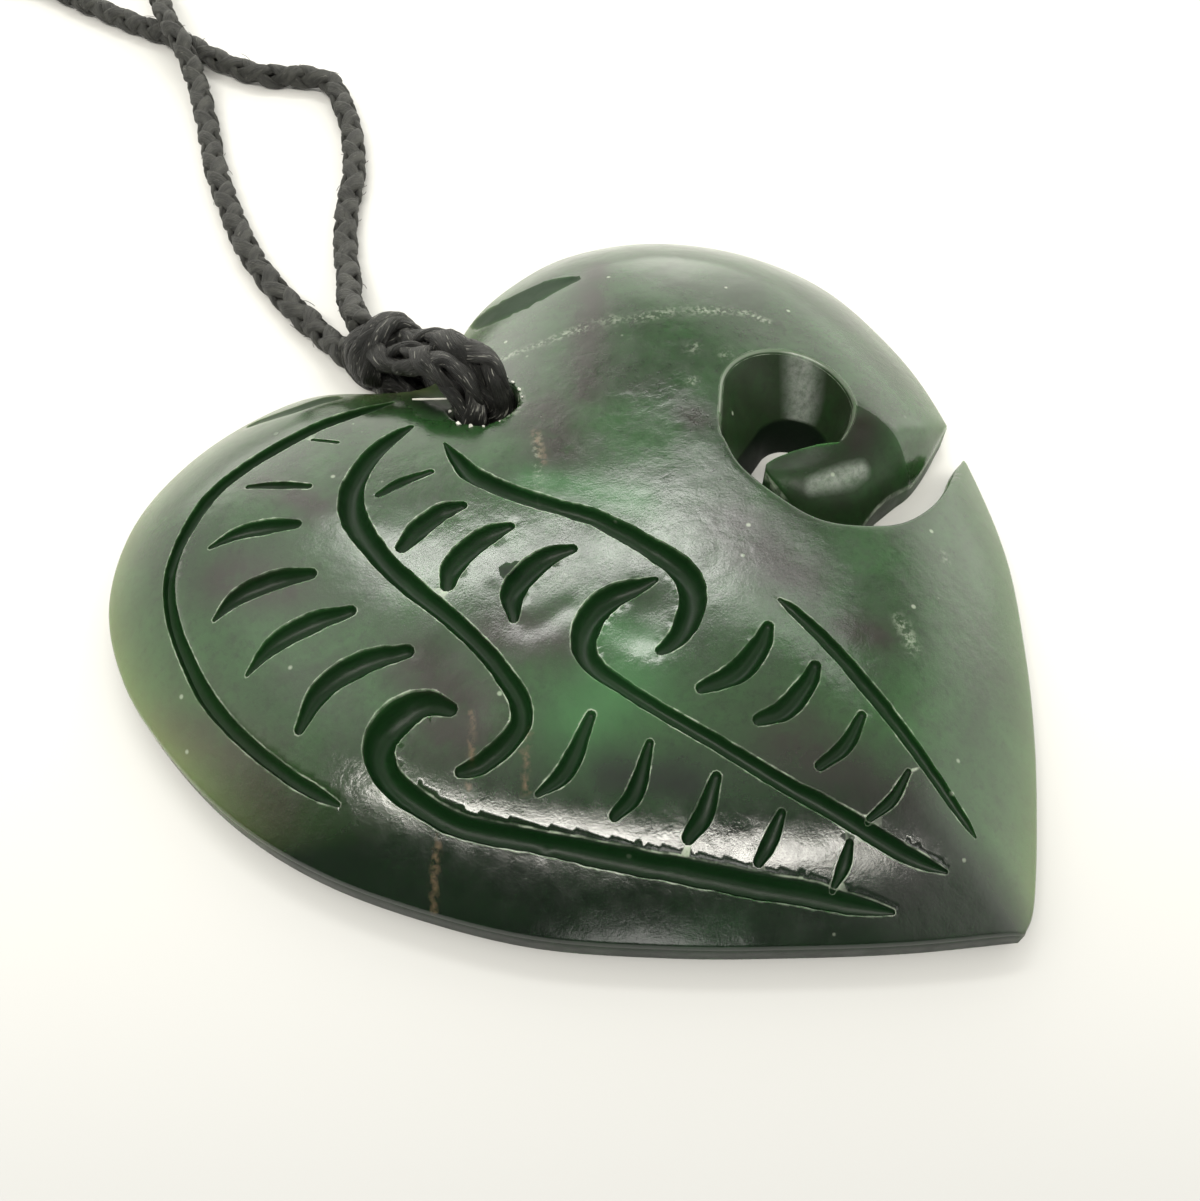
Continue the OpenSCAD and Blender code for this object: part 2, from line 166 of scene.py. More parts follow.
rightRoute = [
    (-1.1, 30.7, 4.6), (-0.4, 32.6, 4.1), (0.8, 35.7, 2.8), (2.8, 39.2, 1.7), (4.7, 42.7, 1.15),
    (7.7, 47.1, 1.1), (11.8, 52, 1.1), (15.1, 57.5, 1.1), (16.9, 62, 1.1), (17.6, 64.2, 1.1),
    (17.2, 66.1, 1.1), (15.7, 68, 1.1), (13.6, 70.2, 1.1), (12.2, 73.2, 1.1), (11.2, 76.9, 1.1),
    (10.4, 81.6, 1.1), (8.9, 85.9, 1.1), (7.7, 89.8, 1.1), (6.5, 94, 1.1), (5, 100, 1.1),
    (1.5, 107.5, 1.1), (-5, 116.5, 1.1), (-13, 125.5, 1.1), (-20.5, 135, 1.1), (-25.8, 146, 1.1),
    (-28, 158, 1.1), (-26.6, 170, 1.1), (-21.5, 180.5, 1.1), (-13, 188.3, 1.3), (-4, 191.7, 2),
    (0, 192, 2.1),
]


def normalised(rows):
    return rows / np.maximum(np.linalg.norm(rows, axis=1, keepdims=True), 1e-9)


def waysAlong(line):
    return normalised(np.gradient(line, axis=0))


def addTube(bm, centres, outs, widths, thicknesses, sides, seed, layer):
    # a flat strand: a sheet rolled to an oval round its centres, its thin way along outs
    tangents = waysAlong(centres)
    across = normalised(np.cross(tangents, outs))
    outs = np.cross(across, tangents)
    turns = (np.arange(sides + 1) % sides + 0.5) * 2 * math.pi / sides
    cosines, sines = (np.sign(part) * np.abs(part) ** plaitValues["rounded"]
                      for part in (np.cos(turns), np.sin(turns)))
    run = runLength(centres)
    sheet = bmesh.ops.create_grid(bm, x_segments=sides, y_segments=len(centres) - 1, size=1)["verts"]
    for k, vert in enumerate(sheet):
        i, j = divmod(k, sides + 1)
        vert.co = (centres[i] + across[i] * cosines[j] * widths[i] / 2
                   + outs[i] * sines[j] * thicknesses[i] / 2)
        # a place for the thread patterns: round the strand, and along it in mm
        vert[layer] = (math.cos(turns[j]) * 1.4 + seed * 3.1, math.sin(turns[j]) * 1.4, run[i])
    bmesh.ops.remove_doubles(bm, verts=sheet[::sides + 1] + sheet[sides::sides + 1], dist=1e-6)


def addPlait(bm, path, ups, seed, layer, looseness=1.0, values=plaitValues):
    # four strands: two wind one way round, two the other, each over one and under the next
    tangents = waysAlong(path)
    sides = normalised(np.cross(tangents, ups))
    ups = np.cross(sides, tangents)
    run = runLength(path)
    for k in range(4):
        way = 1 if k < 2 else -1
        # how far the strand strays in angle, radius, width and thickness
        wobble, stray, wide, thick = (
            noiseRun(len(path), cell, seed * 5 + k + offset) * size * looseness
            for cell, offset, size in ((9, 0, 0.35), (5, 50, 0.035), (7, 90, 0.09), (6, 130, 0.1)))
        angle = way * run * 2 * math.pi / values["lay"] + k % 2 * math.pi + (1 - way) * math.pi / 4 + wobble
        radius = values["ringRadius"] + way * values["crossing"] * np.cos(2 * (angle - math.pi / 4)) + stray
        outs = np.cos(angle)[:, None] * ups + np.sin(angle)[:, None] * sides
        addTube(bm, path + outs * radius[:, None], outs, values["strandWidth"] * (1 + wide),
                values["strandThickness"] * (1 + thick), values["sides"], seed * 4 + k, layer)


def addHairs(bm, path, ups, layer, seed, count, reach):
    # loose fibres that stand off the cord
    tangents = waysAlong(path)
    sides = np.cross(tangents, ups)
    points, thickness = 6, 0.045
    draw = random.Random(seed)
    for k in range(count):
        i = draw.randrange(4, len(path) - 4)
        angle = draw.uniform(-0.6, math.pi + 0.6)
        out = math.sin(angle) * ups[i] + math.cos(angle) * sides[i]
        lean = draw.uniform(-1.4, 1.4)
        share = np.linspace(0, 1, points)[:, None]
        bend = out * (1 - 0.4 * share) + tangents[i] * lean * (0.4 + share)
        centres = path[i] + out * 0.85 + bend * share * reach * draw.uniform(0.4, 1)
        outs = np.tile(sides[i] + out * 0.3, (points, 1))
        width = np.full(points, thickness)
        addTube(bm, centres, outs, width, width, 4, seed * 50 + k, layer)


def startCord():
    bm = bmesh.new()
    return bm, bm.verts.layers.float_vector.new("strandPlace")


def finishCord(name, bm, material, node):
    # strand ends closed, and every face smooth and pointing outwards
    bmesh.ops.holes_fill(bm, edges=[e for e in bm.edges if e.is_boundary], sides=0)
    bmesh.ops.recalc_face_normals(bm, faces=bm.faces)
    for face in bm.faces:
        face.smooth = True
    return finishPiece(name, bm, material, node)


def neckCord(name, route, seed, material, node):
    values = cordValues
    path = smoothLine(route, plaitValues["step"], axes=3)
    path[:, 2] += noiseRun(len(path), 14, seed) * values["sway"]
    ups = np.tile((0.0, 0.0, 1.0), (len(path), 1))
    bm, layer = startCord()
    addPlait(bm, path, ups, seed, layer, values["looseness"])
    near = int(values["hairsTo"] / plaitValues["step"])
    addHairs(bm, path[:near], ups[:near], layer, seed, values["hairs"], values["hairLength"])
    return finishCord(name, bm, material, node), path * mm, float(runLength(path)[-1]) * mm


# Waxed plaited cord: black braided thread pressed flat and soaked in wax. The wax gives the eye a
# smoky grey sheen on the strands' backs and leaves the gaps between them near black. At the knot and
# the loop the cord gets darker colours, finer threads and streaks, and more pale flecks.
laidLook = {
    "strand": "#272825", "worn": "#3d3e39", "deep": "#121211", "fleck": "#7d7d76",
    "roughness": 0.55, "threadMm": 0.17, "streakMm": 2.2, "fleckShare": 0.74, "bump": 0.8,
}
drawnLook = {
    "strand": "#111210", "worn": "#242522", "deep": "#040404", "fleck": "#85857e",
    "roughness": 0.42, "threadMm": 0.15, "streakMm": 1.6, "fleckShare": 0.66, "bump": 1.5,
}


def waxedCordMaterial(name, look):
    material, tree = newMaterial(name)
    place = addNode(tree, "Attribute", output="Vector", attribute_name="strandPlace")
    across, along = 1 / look["threadMm"], 1 / look["streakMm"]
    patterns = []
    # threads, blotches of wear, and flecks: scale on the strand, detail and roughness
    for scale, detail, roughness in (((across, across, along), 3.0, 0.6), ((0.8, 0.8, 0.8), 4.0, 0.6),
                                     ((across * 0.6, across * 0.6, along * 2), 2.0, 0.5)):
        spot = addNode(tree, "Mapping", {"Vector": place, "Scale": scale})
        patterns.append(addNode(tree, "TexNoise", {"Vector": spot, "Scale": 1.0, "Detail": detail,
                                                   "Roughness": roughness}))
    colour, fleckShare = look["deep"], look["fleckShare"]
    ranges = ((0.3, 0.62, "strand"), (0.42, 0.68, "worn"), (fleckShare - 0.03, fleckShare + 0.03, "fleck"))
    for pattern, (low, high, tint) in zip(patterns, ranges):
        share = addNode(tree, "MapRange", {"Value": pattern, "From Min": low, "From Max": high})
        colour = addNode(tree, "Mix", {0: share, 6: colour, 7: look[tint]}, 2, data_type="RGBA")
    bump = addNode(tree, "Bump", {"Height": patterns[0], "Strength": look["bump"], "Distance": 0.2 * mm})
    shader = addNode(tree, "BsdfPrincipled", {"Base Color": colour, "Normal": bump,
                                              "Roughness": look["roughness"], "IOR": 1.45})
    addNode(tree, "OutputMaterial", {"Surface": shader})
    return material


waxedCord = waxedCordMaterial("waxed_plaited_cord", laidLook)
drawnCord = waxedCordMaterial("waxed_cord_drawn_tight", drawnLook)
closureValues = {"from": (0, 192, 2.3), "length": 7.0, "turns": 3, "turnRadius": 1.18, "inset": 1.1}


def closureKnot(material):
    # a plain barrel knot: three turns of the cord round the two ends
    values = closureValues
    x, y, z = values["from"]
    count = int(values["turns"] * 2 * math.pi * 1.25 / plaitValues["step"])
    share = np.linspace(0, 1, count)
    angle = share * values["turns"] * 2 * math.pi
    radius = values["turnRadius"] * np.minimum(1, np.minimum(share, 1 - share) * 12 + 0.3)
    along = x + values["inset"] + share * (values["length"] - 2 * values["inset"])
    path = np.stack([along, y + radius * np.cos(angle), z + radius * np.sin(angle)], 1)
    ups = np.stack([np.zeros(count), np.cos(angle), np.sin(angle)], 1)
    bm, layer = startCord()
    addPlait(bm, path, ups, 31, layer)
    return finishCord("closure_knot_plaited", bm, material, "closure_knot")


closure = closureKnot(waxedCord)
leftCord, leftPath, leftLength = neckCord("neck_cord_left", leftRoute, 3, waxedCord, "cord_left")
rightCord, rightPath, rightLength = neckCord("neck_cord_right", rightRoute, 8, waxedCord, "cord_right")
print("neck cord laid", round(leftLength + rightLength, 4), "m without the closure")

# Loop and wrap: the cord doubled through the stone's hole, and its bight wrapped round the two ends.
loopValues = {
    # y, z of the loop's middle from the knot over the front, down the hole and back underneath
    "route": [(27.4, 4.6), (26.5, 5), (25, 5.9), (23, 7.2), (21, 8.2), (19.2, 8.5), (17.8, 7.9),
              (17.1, 6.4), (16.9, 4.6), (17.1, 2.9), (17.9, 1.7), (19.5, 1.2), (22, 1.2), (24.5, 1.35),
              (27.4, 1.9)],
    "middle": 0.1, "spread": 1.15,                 # x of the hole, and of each strand from it
    "lean": -0.076, "leanFrom": 17.3,              # the loop leans left from this y on
    "looseness": 1.8, "sway": 0.08, "hairs": 24, "hairLength": 0.6,
    "strands": dict(plaitValues, lay=12, strandWidth=1.62, strandThickness=0.85, ringRadius=0.62,
                    step=0.22, sides=12),
}
wrapValues = {
    "middle": (-0.6, 3.35), "radius": 2.12, "from": 27.55, "to": 29.6,  # x and z, radius, y at both ends
    "turns": 2.35, "start": -2.4, "looseness": 1.5,                     # start is an angle from the top
    "strands": dict(plaitValues, lay=15, strandWidth=1.45, strandThickness=0.8, ringRadius=0.6, step=0.25,
                    sides=12),
}


def knotLoop(name, side, node):
    # side is -1 for the left strand, 1 for the right
    values = loopValues
    rows = [(values["middle"] + values["lean"] * max(0, y - values["leanFrom"]) + side * values["spread"],
             y, z) for y, z in values["route"]]
    path = smoothLine(rows, values["strands"]["step"], axes=3)
    seed = 17 + side * 3
    path[:, 0] += noiseRun(len(path), 16, seed) * values["sway"]
    ups = normalised(np.cross(np.gradient(path, axis=0), np.tile((1.0, 0.0, 0.0), (len(path), 1))))
    bm, layer = startCord()
    addPlait(bm, path, ups, seed, layer, values["looseness"], values["strands"])
    addHairs(bm, path, ups, layer, seed, values["hairs"], values["hairLength"])
    finishCord(name, bm, drawnCord, node)


def wrapCollar(name, node):
    # the bight goes round the strands in a short coil
    values = wrapValues
    count = int(values["turns"] * 2 * math.pi * values["radius"] / values["strands"]["step"])
    share = np.linspace(0, 1, count)
    angle = values["start"] + share * values["turns"] * 2 * math.pi
    radius = values["radius"] * np.minimum(1, 0.45 + np.minimum(share, 1 - share) * 9)
    x, z = values["middle"]
    y = values["from"] + (values["to"] - values["from"]) * share
    path = np.stack([x + radius * np.sin(angle), y, z + radius * np.cos(angle)], 1)
    ups = np.stack([np.sin(angle), np.zeros(count), np.cos(angle)], 1)
    bm, layer = startCord()
    addPlait(bm, path, ups, 43, layer, values["looseness"], values["strands"])
    finishCord(name, bm, drawnCord, node)


knotLoop("loop_left_plaited", -1, "loop_left")
knotLoop("loop_right_plaited", 1, "loop_right")
wrapCollar("collar_wrapped", "collar_knot")
print("knot tied at the stone")

# Stone: a flat-backed heart with a low dome, carved lines, a spiral opening and a cord hole.
stoneValues = {
    "crest": 2.2,          # top of the near-vertical edge wall
    "rise": 5.6,           # of the dome above the crest
    "backChamfer": 0.5,
    "edgeRound": 0.22,     # polished rounding along the rim, the slot and the cord hole
    "lineDepth": 0.68,     # depth of a carved line as a share of its width
    "notchDepth": 0.62,
    "lineStep": 0.2,       # between points along a carved line
    "fillStep": 0.3,       # between points on the smooth front
    "gridStep": 0.5,       # of the dome's table of heights, which starts at gridFrom in x and y
    "gridFrom": -34.0,
    "domeSoft": 0.9,       # reach of the smoothing over the dome
    "channelBlend": 0.25,  # how softly the cord channel, the tongue and the bowl meet the dome
    "tongueBlend": 0.8,
    "bowlBlend": 0.12,
    # The front's triangles follow lines: at these shares of a carved line's half width, this far in from
    # the rims, this far from the bowl's rim, and on the bowl's wall at these heights.
    "cutShares": (0.55, 0.86, 1),
    "rimInsets": (0, 0.06, 0.14, 0.24),
    "bowlInsets": (-0.22, -0.08, 0.08, 0.22),
    "bowlLevels": (1.4, 2.7, 2.95, 4.2, 5.6),
    "ragged": 0.045,       # how much a carved edge wanders, as a share of the line's half width
}
outlineRows = [
    (0.5, -30), (2, -29.4), (5.7, -26.8), (10.4, -23.1), (15.2, -18.7), (20.3, -13.2), (24.8, -6.2),
    (28.3, 0.8), (30, 6.9), (30.6, 12.5), (29.6, 17.7), (27.2, 22.5), (23, 26.8), (17.5, 29.3),
    (12.5, 29.5), (7.4, 28.4), (3.1, 25.9), (0.6, 24.6), (-2.3, 26), (-6.8, 29.4), (-12.5, 30.2),
    (-18, 29.3), (-23, 26.8), (-27.1, 22.1), (-29.1, 16.2), (-29.4, 10), (-28.7, 4), (-26.9, -1.6),
    (-24, -7), (-19.9, -12.8), (-14.5, -18.2), (-9.5, -22.5), (-4.6, -26.4),
]
# distance in from the edge, share of the dome's rise
domeRows = [(0, 0), (1, 0.14), (2, 0.27), (3.5, 0.44), (5, 0.58), (6.5, 0.70), (8, 0.78), (10, 0.85),
            (13, 0.92), (17, 0.97), (24, 1)]
# x, y, width of each carved line
lineRows = [
    [(-3.8, 22.9, 0.5), (-6, 22.9, 1.3), (-10, 22.85, 1.3), (-15, 22.9, 1.3), (-17.9, 22.5, 1.3),
     (-20, 21.5, 1.2), (-22, 20.2, 1), (-23.6, 18.5, 0.9), (-24.8, 15.9, 0.9), (-25.5, 13, 0.95),
     (-25.9, 10, 1), (-25.7, 6.5, 0.85), (-25, 3, 0.8), (-24.3, 0.8, 0.7), (-23.8, -0.5, 0.3)],
    [(-5, 18.5, 0.5), (-6.2, 18.35, 1.1), (-8, 17.9, 1.4), (-10, 16.85, 1.5), (-11.5, 15.6, 1.65),
     (-12.5, 14, 1.75), (-12.95, 12, 1.6), (-13.15, 9.5, 1.45), (-13, 7, 1.4), (-12.6, 4, 1.25),
     (-12.4, 1, 1.15), (-12.5, -1.2, 1.2), (-12.8, -3, 1.3), (-13.6, -4.2, 1.3), (-15, -4.65, 1.3),
     (-16.5, -4.6, 1.2), (-17.3, -4.35, 1), (-17.8, -4.1, 0.7)],
    [(-16.1, -0.9, 1), (-16.7, 0.1, 1.6), (-17.6, 0.6, 2), (-18.8, 0.7, 2.25), (-19.9, 0.4, 2.1),
     (-20.7, -0.5, 1.75), (-20.9, -2, 1.5), (-20.4, -4, 1.3), (-19.6, -6, 1.2), (-18.2, -8, 1.2),
     (-16.5, -10.2, 1.2), (-14.4, -12.9, 1.3), (-12, -15.8, 1.3), (-9.6, -18.7, 1.3), (-7.5, -21.1, 1.2),
     (-5.8, -23.2, 0.9), (-4.6, -24.6, 0.3)],
    [(-4.4, 15.4, 0.2), (-4.65, 14, 0.9), (-4.85, 12, 1.4), (-4.4, 10, 1.35), (-3.6, 8, 1.35),
     (-2.6, 6, 1.25), (-1.5, 4, 1.4), (-0.85, 2, 1.5), (-0.4, 0, 1.55), (0, -2, 1.8), (-0.1, -3.4, 1.8),
     (-0.8, -4.6, 1.7), (-2, -5.5, 1.6), (-3.2, -6, 1.3), (-4.2, -6.1, 1), (-4.7, -6.05, 0.75)],
    [(-1.7, -2.25, 0.45), (-2.9, -1.9, 1.2), (-4.2, -1.5, 1.65), (-5.6, -1.5, 1.8), (-7, -2.1, 1.75),
     (-8, -3.1, 1.5), (-8.3, -4.5, 1.2), (-7.9, -6.5, 1), (-7.3, -8.8, 0.95), (-6.3, -12, 1),
     (-5.1, -15.9, 1), (-3.9, -19, 1.05), (-2.7, -22.2, 1), (-1.9, -23.9, 0.8), (-1.2, -25.1, 0.25)],
    [(2.95, -8.1, 0.3), (3.05, -9.2, 0.8), (3, -12, 1), (2.7, -15, 1.05), (2.2, -18.5, 0.95),
     (1.7, -21.5, 0.85), (1.4, -24, 0.6), (1.3, -24.9, 0.2)],
]
notchRows = [
    [(-16.1, 20.9, 0.4), (-14.6, 19.4, 0.7), (-13.3, 17.9, 0.5)],
    [(-20.4, 18.35, 0.35), (-18.6, 17.85, 1.1), (-16.9, 16.8, 1.25), (-15.6, 15.7, 0.75)],
    [(-22.9, 13.7, 0.35), (-21.1, 13.85, 1.3), (-18.8, 13.1, 1.5), (-17, 11.9, 0.9)],
    [(-23.4, 9.2, 0.3), (-21.2, 9.5, 1.3), (-18.8, 9, 1.5), (-16.7, 8.05, 0.85)],
    [(-23, 4.25, 0.7), (-20.6, 5.1, 1.5), (-18, 4.7, 1.6), (-15.8, 3.6, 0.95)],
    [(-10.4, 14.2, 0.5), (-8.7, 14.2, 0.85), (-6.7, 13.75, 0.5)],
    [(-11.7, 9.7, 1), (-10, 10.2, 1.6), (-8.2, 10.4, 1.5), (-7, 10, 0.85)],
    [(-11.3, 5.6, 1), (-10, 6.6, 1.6), (-7.4, 7, 1.6), (-5.8, 6.65, 0.8)],
    [(-9.8, 1.2, 0.7), (-8.4, 2.8, 1.7), (-5.7, 3.3, 1.5), (-4, 2.75, 0.75)],
    [(-4.6, -9.35, 0.8), (-2.4, -9.95, 1.5), (-0.3, -9.6, 1.3), (1.1, -8.95, 0.75)],
    [(-3.5, -12.85, 0.8), (-1.9, -13.35, 1.3), (0.1, -13.05, 1.15), (1.3, -12.55, 0.75)],
    [(-2.8, -16.9, 0.65), (-0.9, -17, 0.9), (1.1, -16.35, 0.55)],
    [(-2.7, -20.6, 0.4), (-1, -20.7, 0.65), (0.7, -20.25, 0.35)],
    [(-15.4, -7.9, 0.4), (-13.4, -7.95, 1.15), (-10.4, -6.5, 0.6)],
    [(-13, -11.5, 0.65), (-11.3, -11.3, 1.05), (-9, -9.85, 0.5)],
    [(-10.7, -14.9, 0.8), (-9.3, -14.6, 1.1), (-7.5, -13.6, 0.6)],
    [(-8.6, -18.2, 0.65), (-7.5, -17.9, 0.9), (-6.1, -17.3, 0.5)],
    [(-6.3, -21.7, 0.4), (-5.2, -21.3, 0.75), (-4.3, -20.75, 0.5)],
    [(-10.7, 21.7, 0.3), (-9.65, 20.3, 0.35)],
]
# hollows left by the polishing wheel: depth, then x, y and half width along each
hollowRows = [
    (0.15, [(13.3, 23.4, 0.55), (11.5, 24.6, 1.4), (9.6, 25.45, 1.75), (7.6, 26.7, 1.4)]),
    (0.1, [(-6.5, 27.2, 0.8), (-9.2, 27.3, 0.7), (-11.8, 29, 0.5)]),
    (0.16, [(-4.6, -4.4, 1.7), (-3.6, -3.7, 1.7)]),
    (0.05, [(-9.4, 3.6, 0.5), (-10.2, 1.5, 0.7), (-9.3, 0, 0.8), (-7, -0.3, 0.6)]),
    (0.08, [(-14.5, 1.5, 1.4), (-15, -1.5, 1.2)]),
    (0.12, [(-16.9, -10.2, 0.2), (-16.9, -10.1, 0.2)]),
]
rimHollows = [stroke for _, stroke in hollowRows[:2]]  # the two near the rim, darker as painted shade
spiralValues = {
    "slotWidth": 3.2,
    # x, y and share of the slot's width, from outside the right edge inwards to the bowl
    "slot": [(28.4, -3.5, 0.6), (25.85, -4.47, 0.65), (24.5, -4.93, 0.63), (22.75, -5.43, 0.6),
             (21, -5.95, 0.7), (19.5, -6.3, 0.92), (17.15, -6.7, 1.12), (14.6, -6.9, 1.1),
             (12.9, -6.3, 1.05), (10.95, -4.55, 1.03), (10.35, -2, 1.01), (10.25, 0.35, 1),
             (10.6, 1.95, 0.94), (11.4, 3.5, 0.88)],
    # z, then x, y and radius of the bowl's round part and of its side towards the slot
    "bowl": [(0, 15.83, 2.6, 1.9, 12.2, 1.8, 1.5), (2.8, 15.85, 2.5, 2.6, 12.3, 1.9, 2.1),
             (7.8, 16, 3.4, 4.9, 12.6, 2.2, 3.35)],
    "bowlFloor": 0.35,
    "rimMiddle": (14.6, 2.6), "sectionMiddle": (13.8, 1.6),  # inside the bowl's rim and its sections
    "bowlReach": 9,                                # the bowl lies within this of rimMiddle
    # x, y, radius across and top of the tongue's ridge, from the mouth of the slot to the tip
    "ridge": [(28.4, 1.8, 11, 3.8), (24.6, 1, 7, 5.4), (22, 0.2, 6.1, 6.1), (20, 0.1, 6.1, 6.7),
              (18.6, -0.1, 6.1, 6.4), (17, -0.5, 6.3, 5.6), (15.6, -0.6, 6, 5.1), (14.4, -0.2, 4.9, 4.8),
              (13.4, 0.7, 3.9, 4.5), (12.6, 1.8, 3.2, 4.1)],
    # where the tongue's unpolished end stops
    "roughEnd": [(17.6, 2.6), (18.8, 1.2), (19.6, -0.4), (20.1, -2.6), (20.3, -4.6), (20, -6.8)],
    "ridgeBase": -4,
    "ridgeBevel": (0.7, 0.36, 0.25),               # start beside the ridge, slope and softness
    "tip": [(11.8, 0), (12, 1.4), (12.5, 1.85), (13.3, 1.7), (14.5, 1.2), (15.7, 0.2), (17, -1.1), (17, -3),
            (12.5, -3)],
    "root": [(14, 3), (17.5, 2), (19, 0.3), (22, 0.2), (24.6, 1), (28.4, 1.8)],
    "mouthBevel": (22.8, -6.8, 2.6, 0.9),          # middle, reach and depth of the worn lower lip
}
cordWayValues = {
    "hole": (0.1, 17.3, 2.5),
    "front": (15.5, 9.2, 27, 4.4, 2.8),            # y, z at both ends of the channel's axis, and its radius
    "back": (-0.25, 17.3, 29.3, 5.6, 2.6),         # x, from y, to y, width and height
}


def nearestOn(points, line):
    # distance to a run of points, the place along it in steps, and the side as 1 or -1
    best = np.full(len(points), 1e9)
    place = np.zeros(len(points))
    side = np.ones(len(points))
    a, ab = line[:-1], np.diff(line, axis=0)
    length2 = np.maximum((ab ** 2).sum(1), 1e-12)
    for start in range(0, len(points), 3000):
        p = points[start:start + 3000]
        ap = p[:, None] - a[None]
        t = np.clip((ap * ab).sum(2) / length2, 0, 1)
        away = np.sqrt(((ap - t[..., None] * ab) ** 2).sum(2))
        k = away.argmin(1)
        rows = np.arange(len(p))
        best[start:start + 3000] = away[rows, k]
        place[start:start + 3000] = k + t[rows, k]
        cross = ab[k, 0] * ap[rows, k, 1] - ab[k, 1] * ap[rows, k, 0]
        side[start:start + 3000] = np.where(cross >= 0, 1, -1)
    return best, place, side


def insideBox(points, low, high):
    return np.flatnonzero(((points > low) & (points < high)).all(1))


def strokeShare(points, strokes):
    share = np.zeros(len(points))
    for stroke in strokes:
        run = smoothLine(stroke, 0.4)
        low, high = run[:, :2].min(0) - 3 * run[:, 2].max(), run[:, :2].max(0) + 3 * run[:, 2].max()
        near = insideBox(points, low, high)
        away, place, _ = nearestOn(points[near], run[:, :2])
        half = np.interp(place, np.arange(len(run)), run[:, 2])
        share[near] = np.maximum(share[near], np.exp(-(away / half) ** 2))
    return share


def insideOf(points, loop):
    inside = np.zeros(len(points), bool)
    x, y = points[:, 0], points[:, 1]
    for (ax, ay), (bx, by) in zip(loop, np.roll(loop, -1, axis=0)):
        if ay != by:
            inside ^= ((ay > y) != (by > y)) & (x < (bx - ax) * (y - ay) / (by - ay) + ax)
    return inside


def offsetLine(line, away):
    # the run moved sideways, to its left where away is above 0
    along = waysAlong(line)
    return line + np.stack([-along[:, 1], along[:, 0]], 1) * np.asarray(away).reshape(-1, 1)


def circleLine(x, y, radius, step):
    turn = np.linspace(0, 2 * math.pi, max(24, int(2 * math.pi * radius / step)) + 1)
    return np.stack([x + radius * np.cos(turn), y + radius * np.sin(turn)], 1)


outline = smoothLine(outlineRows + outlineRows[:1], 0.3)
slotRun = smoothLine(spiralValues["slot"], 0.2)
slotMiddle, slotHalf = slotRun[:, :2], slotRun[:, 2] * spiralValues["slotWidth"] / 2
slotLoop = np.vstack([offsetLine(slotMiddle, slotHalf), offsetLine(slotMiddle, -slotHalf)[::-1]])
ridgeRun = smoothLine(spiralValues["ridge"], 0.2)
tipLoop = np.array(spiralValues["tip"], float)
tongueZone = np.vstack([slotMiddle, spiralValues["root"]])
roughEnd = smoothLine(spiralValues["roughEnd"], 0.3)
roughZone = np.vstack([roughEnd, [(11, -7), (10.6, 3)]])


def taperedReach(points, ax, ay, ar, bx, by, br):
    # signed distance to the hull of two circles
    ab = np.array([bx - ax, by - ay])
    length = math.hypot(*ab)
    ab = ab / length
    lean = (ar - br) / length
    rest = math.sqrt(1 - lean * lean)
    px = (points[:, 0] - ax) * ab[0] + (points[:, 1] - ay) * ab[1]
    py = np.abs((points[:, 0] - ax) * ab[1] - (points[:, 1] - ay) * ab[0])
    k = px * rest - py * lean
    return np.where(k < 0, np.hypot(px, py) - ar,
                    np.where(k > length * rest, np.hypot(px - length, py) - br, px * lean + py * rest - ar))


def bowlReach(points, z):
    # signed distance to the bowl's section at height z
    levels = np.array(spiralValues["bowl"])
    z = min(z, levels[-1, 0])
    return taperedReach(points, *[np.interp(z, levels[:, 0], levels[:, k]) for k in range(1, 7)])


def bowlHeight(points):
    # the lowest height at which the bowl's section holds a point; far above the stone outside it
    height = np.full(len(points), 99.0)
    near = np.flatnonzero(np.hypot(*(points - spiralValues["rimMiddle"]).T) < spiralValues["bowlReach"])
    p = points[near]
    levels = np.linspace(0, 8, 41)  # every 0.2 mm, up to above the top of the dome
    before = bowlReach(p, levels[0])
    found = np.where(before <= 0, 0.0, 99.0)
    for low, high in zip(levels[:-1], levels[1:]):
        after = bowlReach(p, high)
        hit = (found > 90) & (after <= 0)
        found[hit] = low + (high - low) * before[hit] / np.maximum(before[hit] - after[hit], 1e-9)
        before = after
    height[near] = found
    return height


def domeGrid():
    # share of the dome's rise on a square grid, smoothed both ways
    gridStep, gridFrom = stoneValues["gridStep"], stoneValues["gridFrom"]
    axis = np.arange(gridFrom, -gridFrom + gridStep, gridStep)
    gx, gy = np.meshgrid(axis, axis)
    points = np.stack([gx.ravel(), gy.ravel()], 1)
    away = nearestOn(points, outline)[0]
    away = np.where(insideOf(points, outline), away, -away)
    profile = smoothLine(domeRows, 0.25)
    rise = np.interp(away, profile[:, 0], profile[:, 1])
    rise = np.where(away < 0, away * 0.14, rise).reshape(gx.shape)
    reach = np.arange(-6, 7) * gridStep
    weights = np.exp(-(reach / stoneValues["domeSoft"]) ** 2 / 2)
    weights /= weights.sum()
    table = np.pad(rise, 6, mode="edge")
    for way in (1, 0):
        table = np.apply_along_axis(lambda row: np.convolve(row, weights, "valid"), way, table)
    return table


domeTable = domeGrid()


def domeHeight(points):
    # cubic reading of the dome's grid
    at = (points - stoneValues["gridFrom"]) / stoneValues["gridStep"]
    cell = np.clip(np.floor(at).astype(int), 1, len(domeTable) - 3)
    t = at - cell
    across, up = ([-0.5 * f + f ** 2 - 0.5 * f ** 3, 1 - 2.5 * f ** 2 + 1.5 * f ** 3,
                   0.5 * f + 2 * f ** 2 - 1.5 * f ** 3, -0.5 * f ** 2 + 0.5 * f ** 3] for f in t.T)
    total = 0
    for i in range(4):
        for j in range(4):
            total = total + up[i] * across[j] * domeTable[cell[:, 1] + i - 1, cell[:, 0] + j - 1]
    return stoneValues["crest"] + stoneValues["rise"] * total


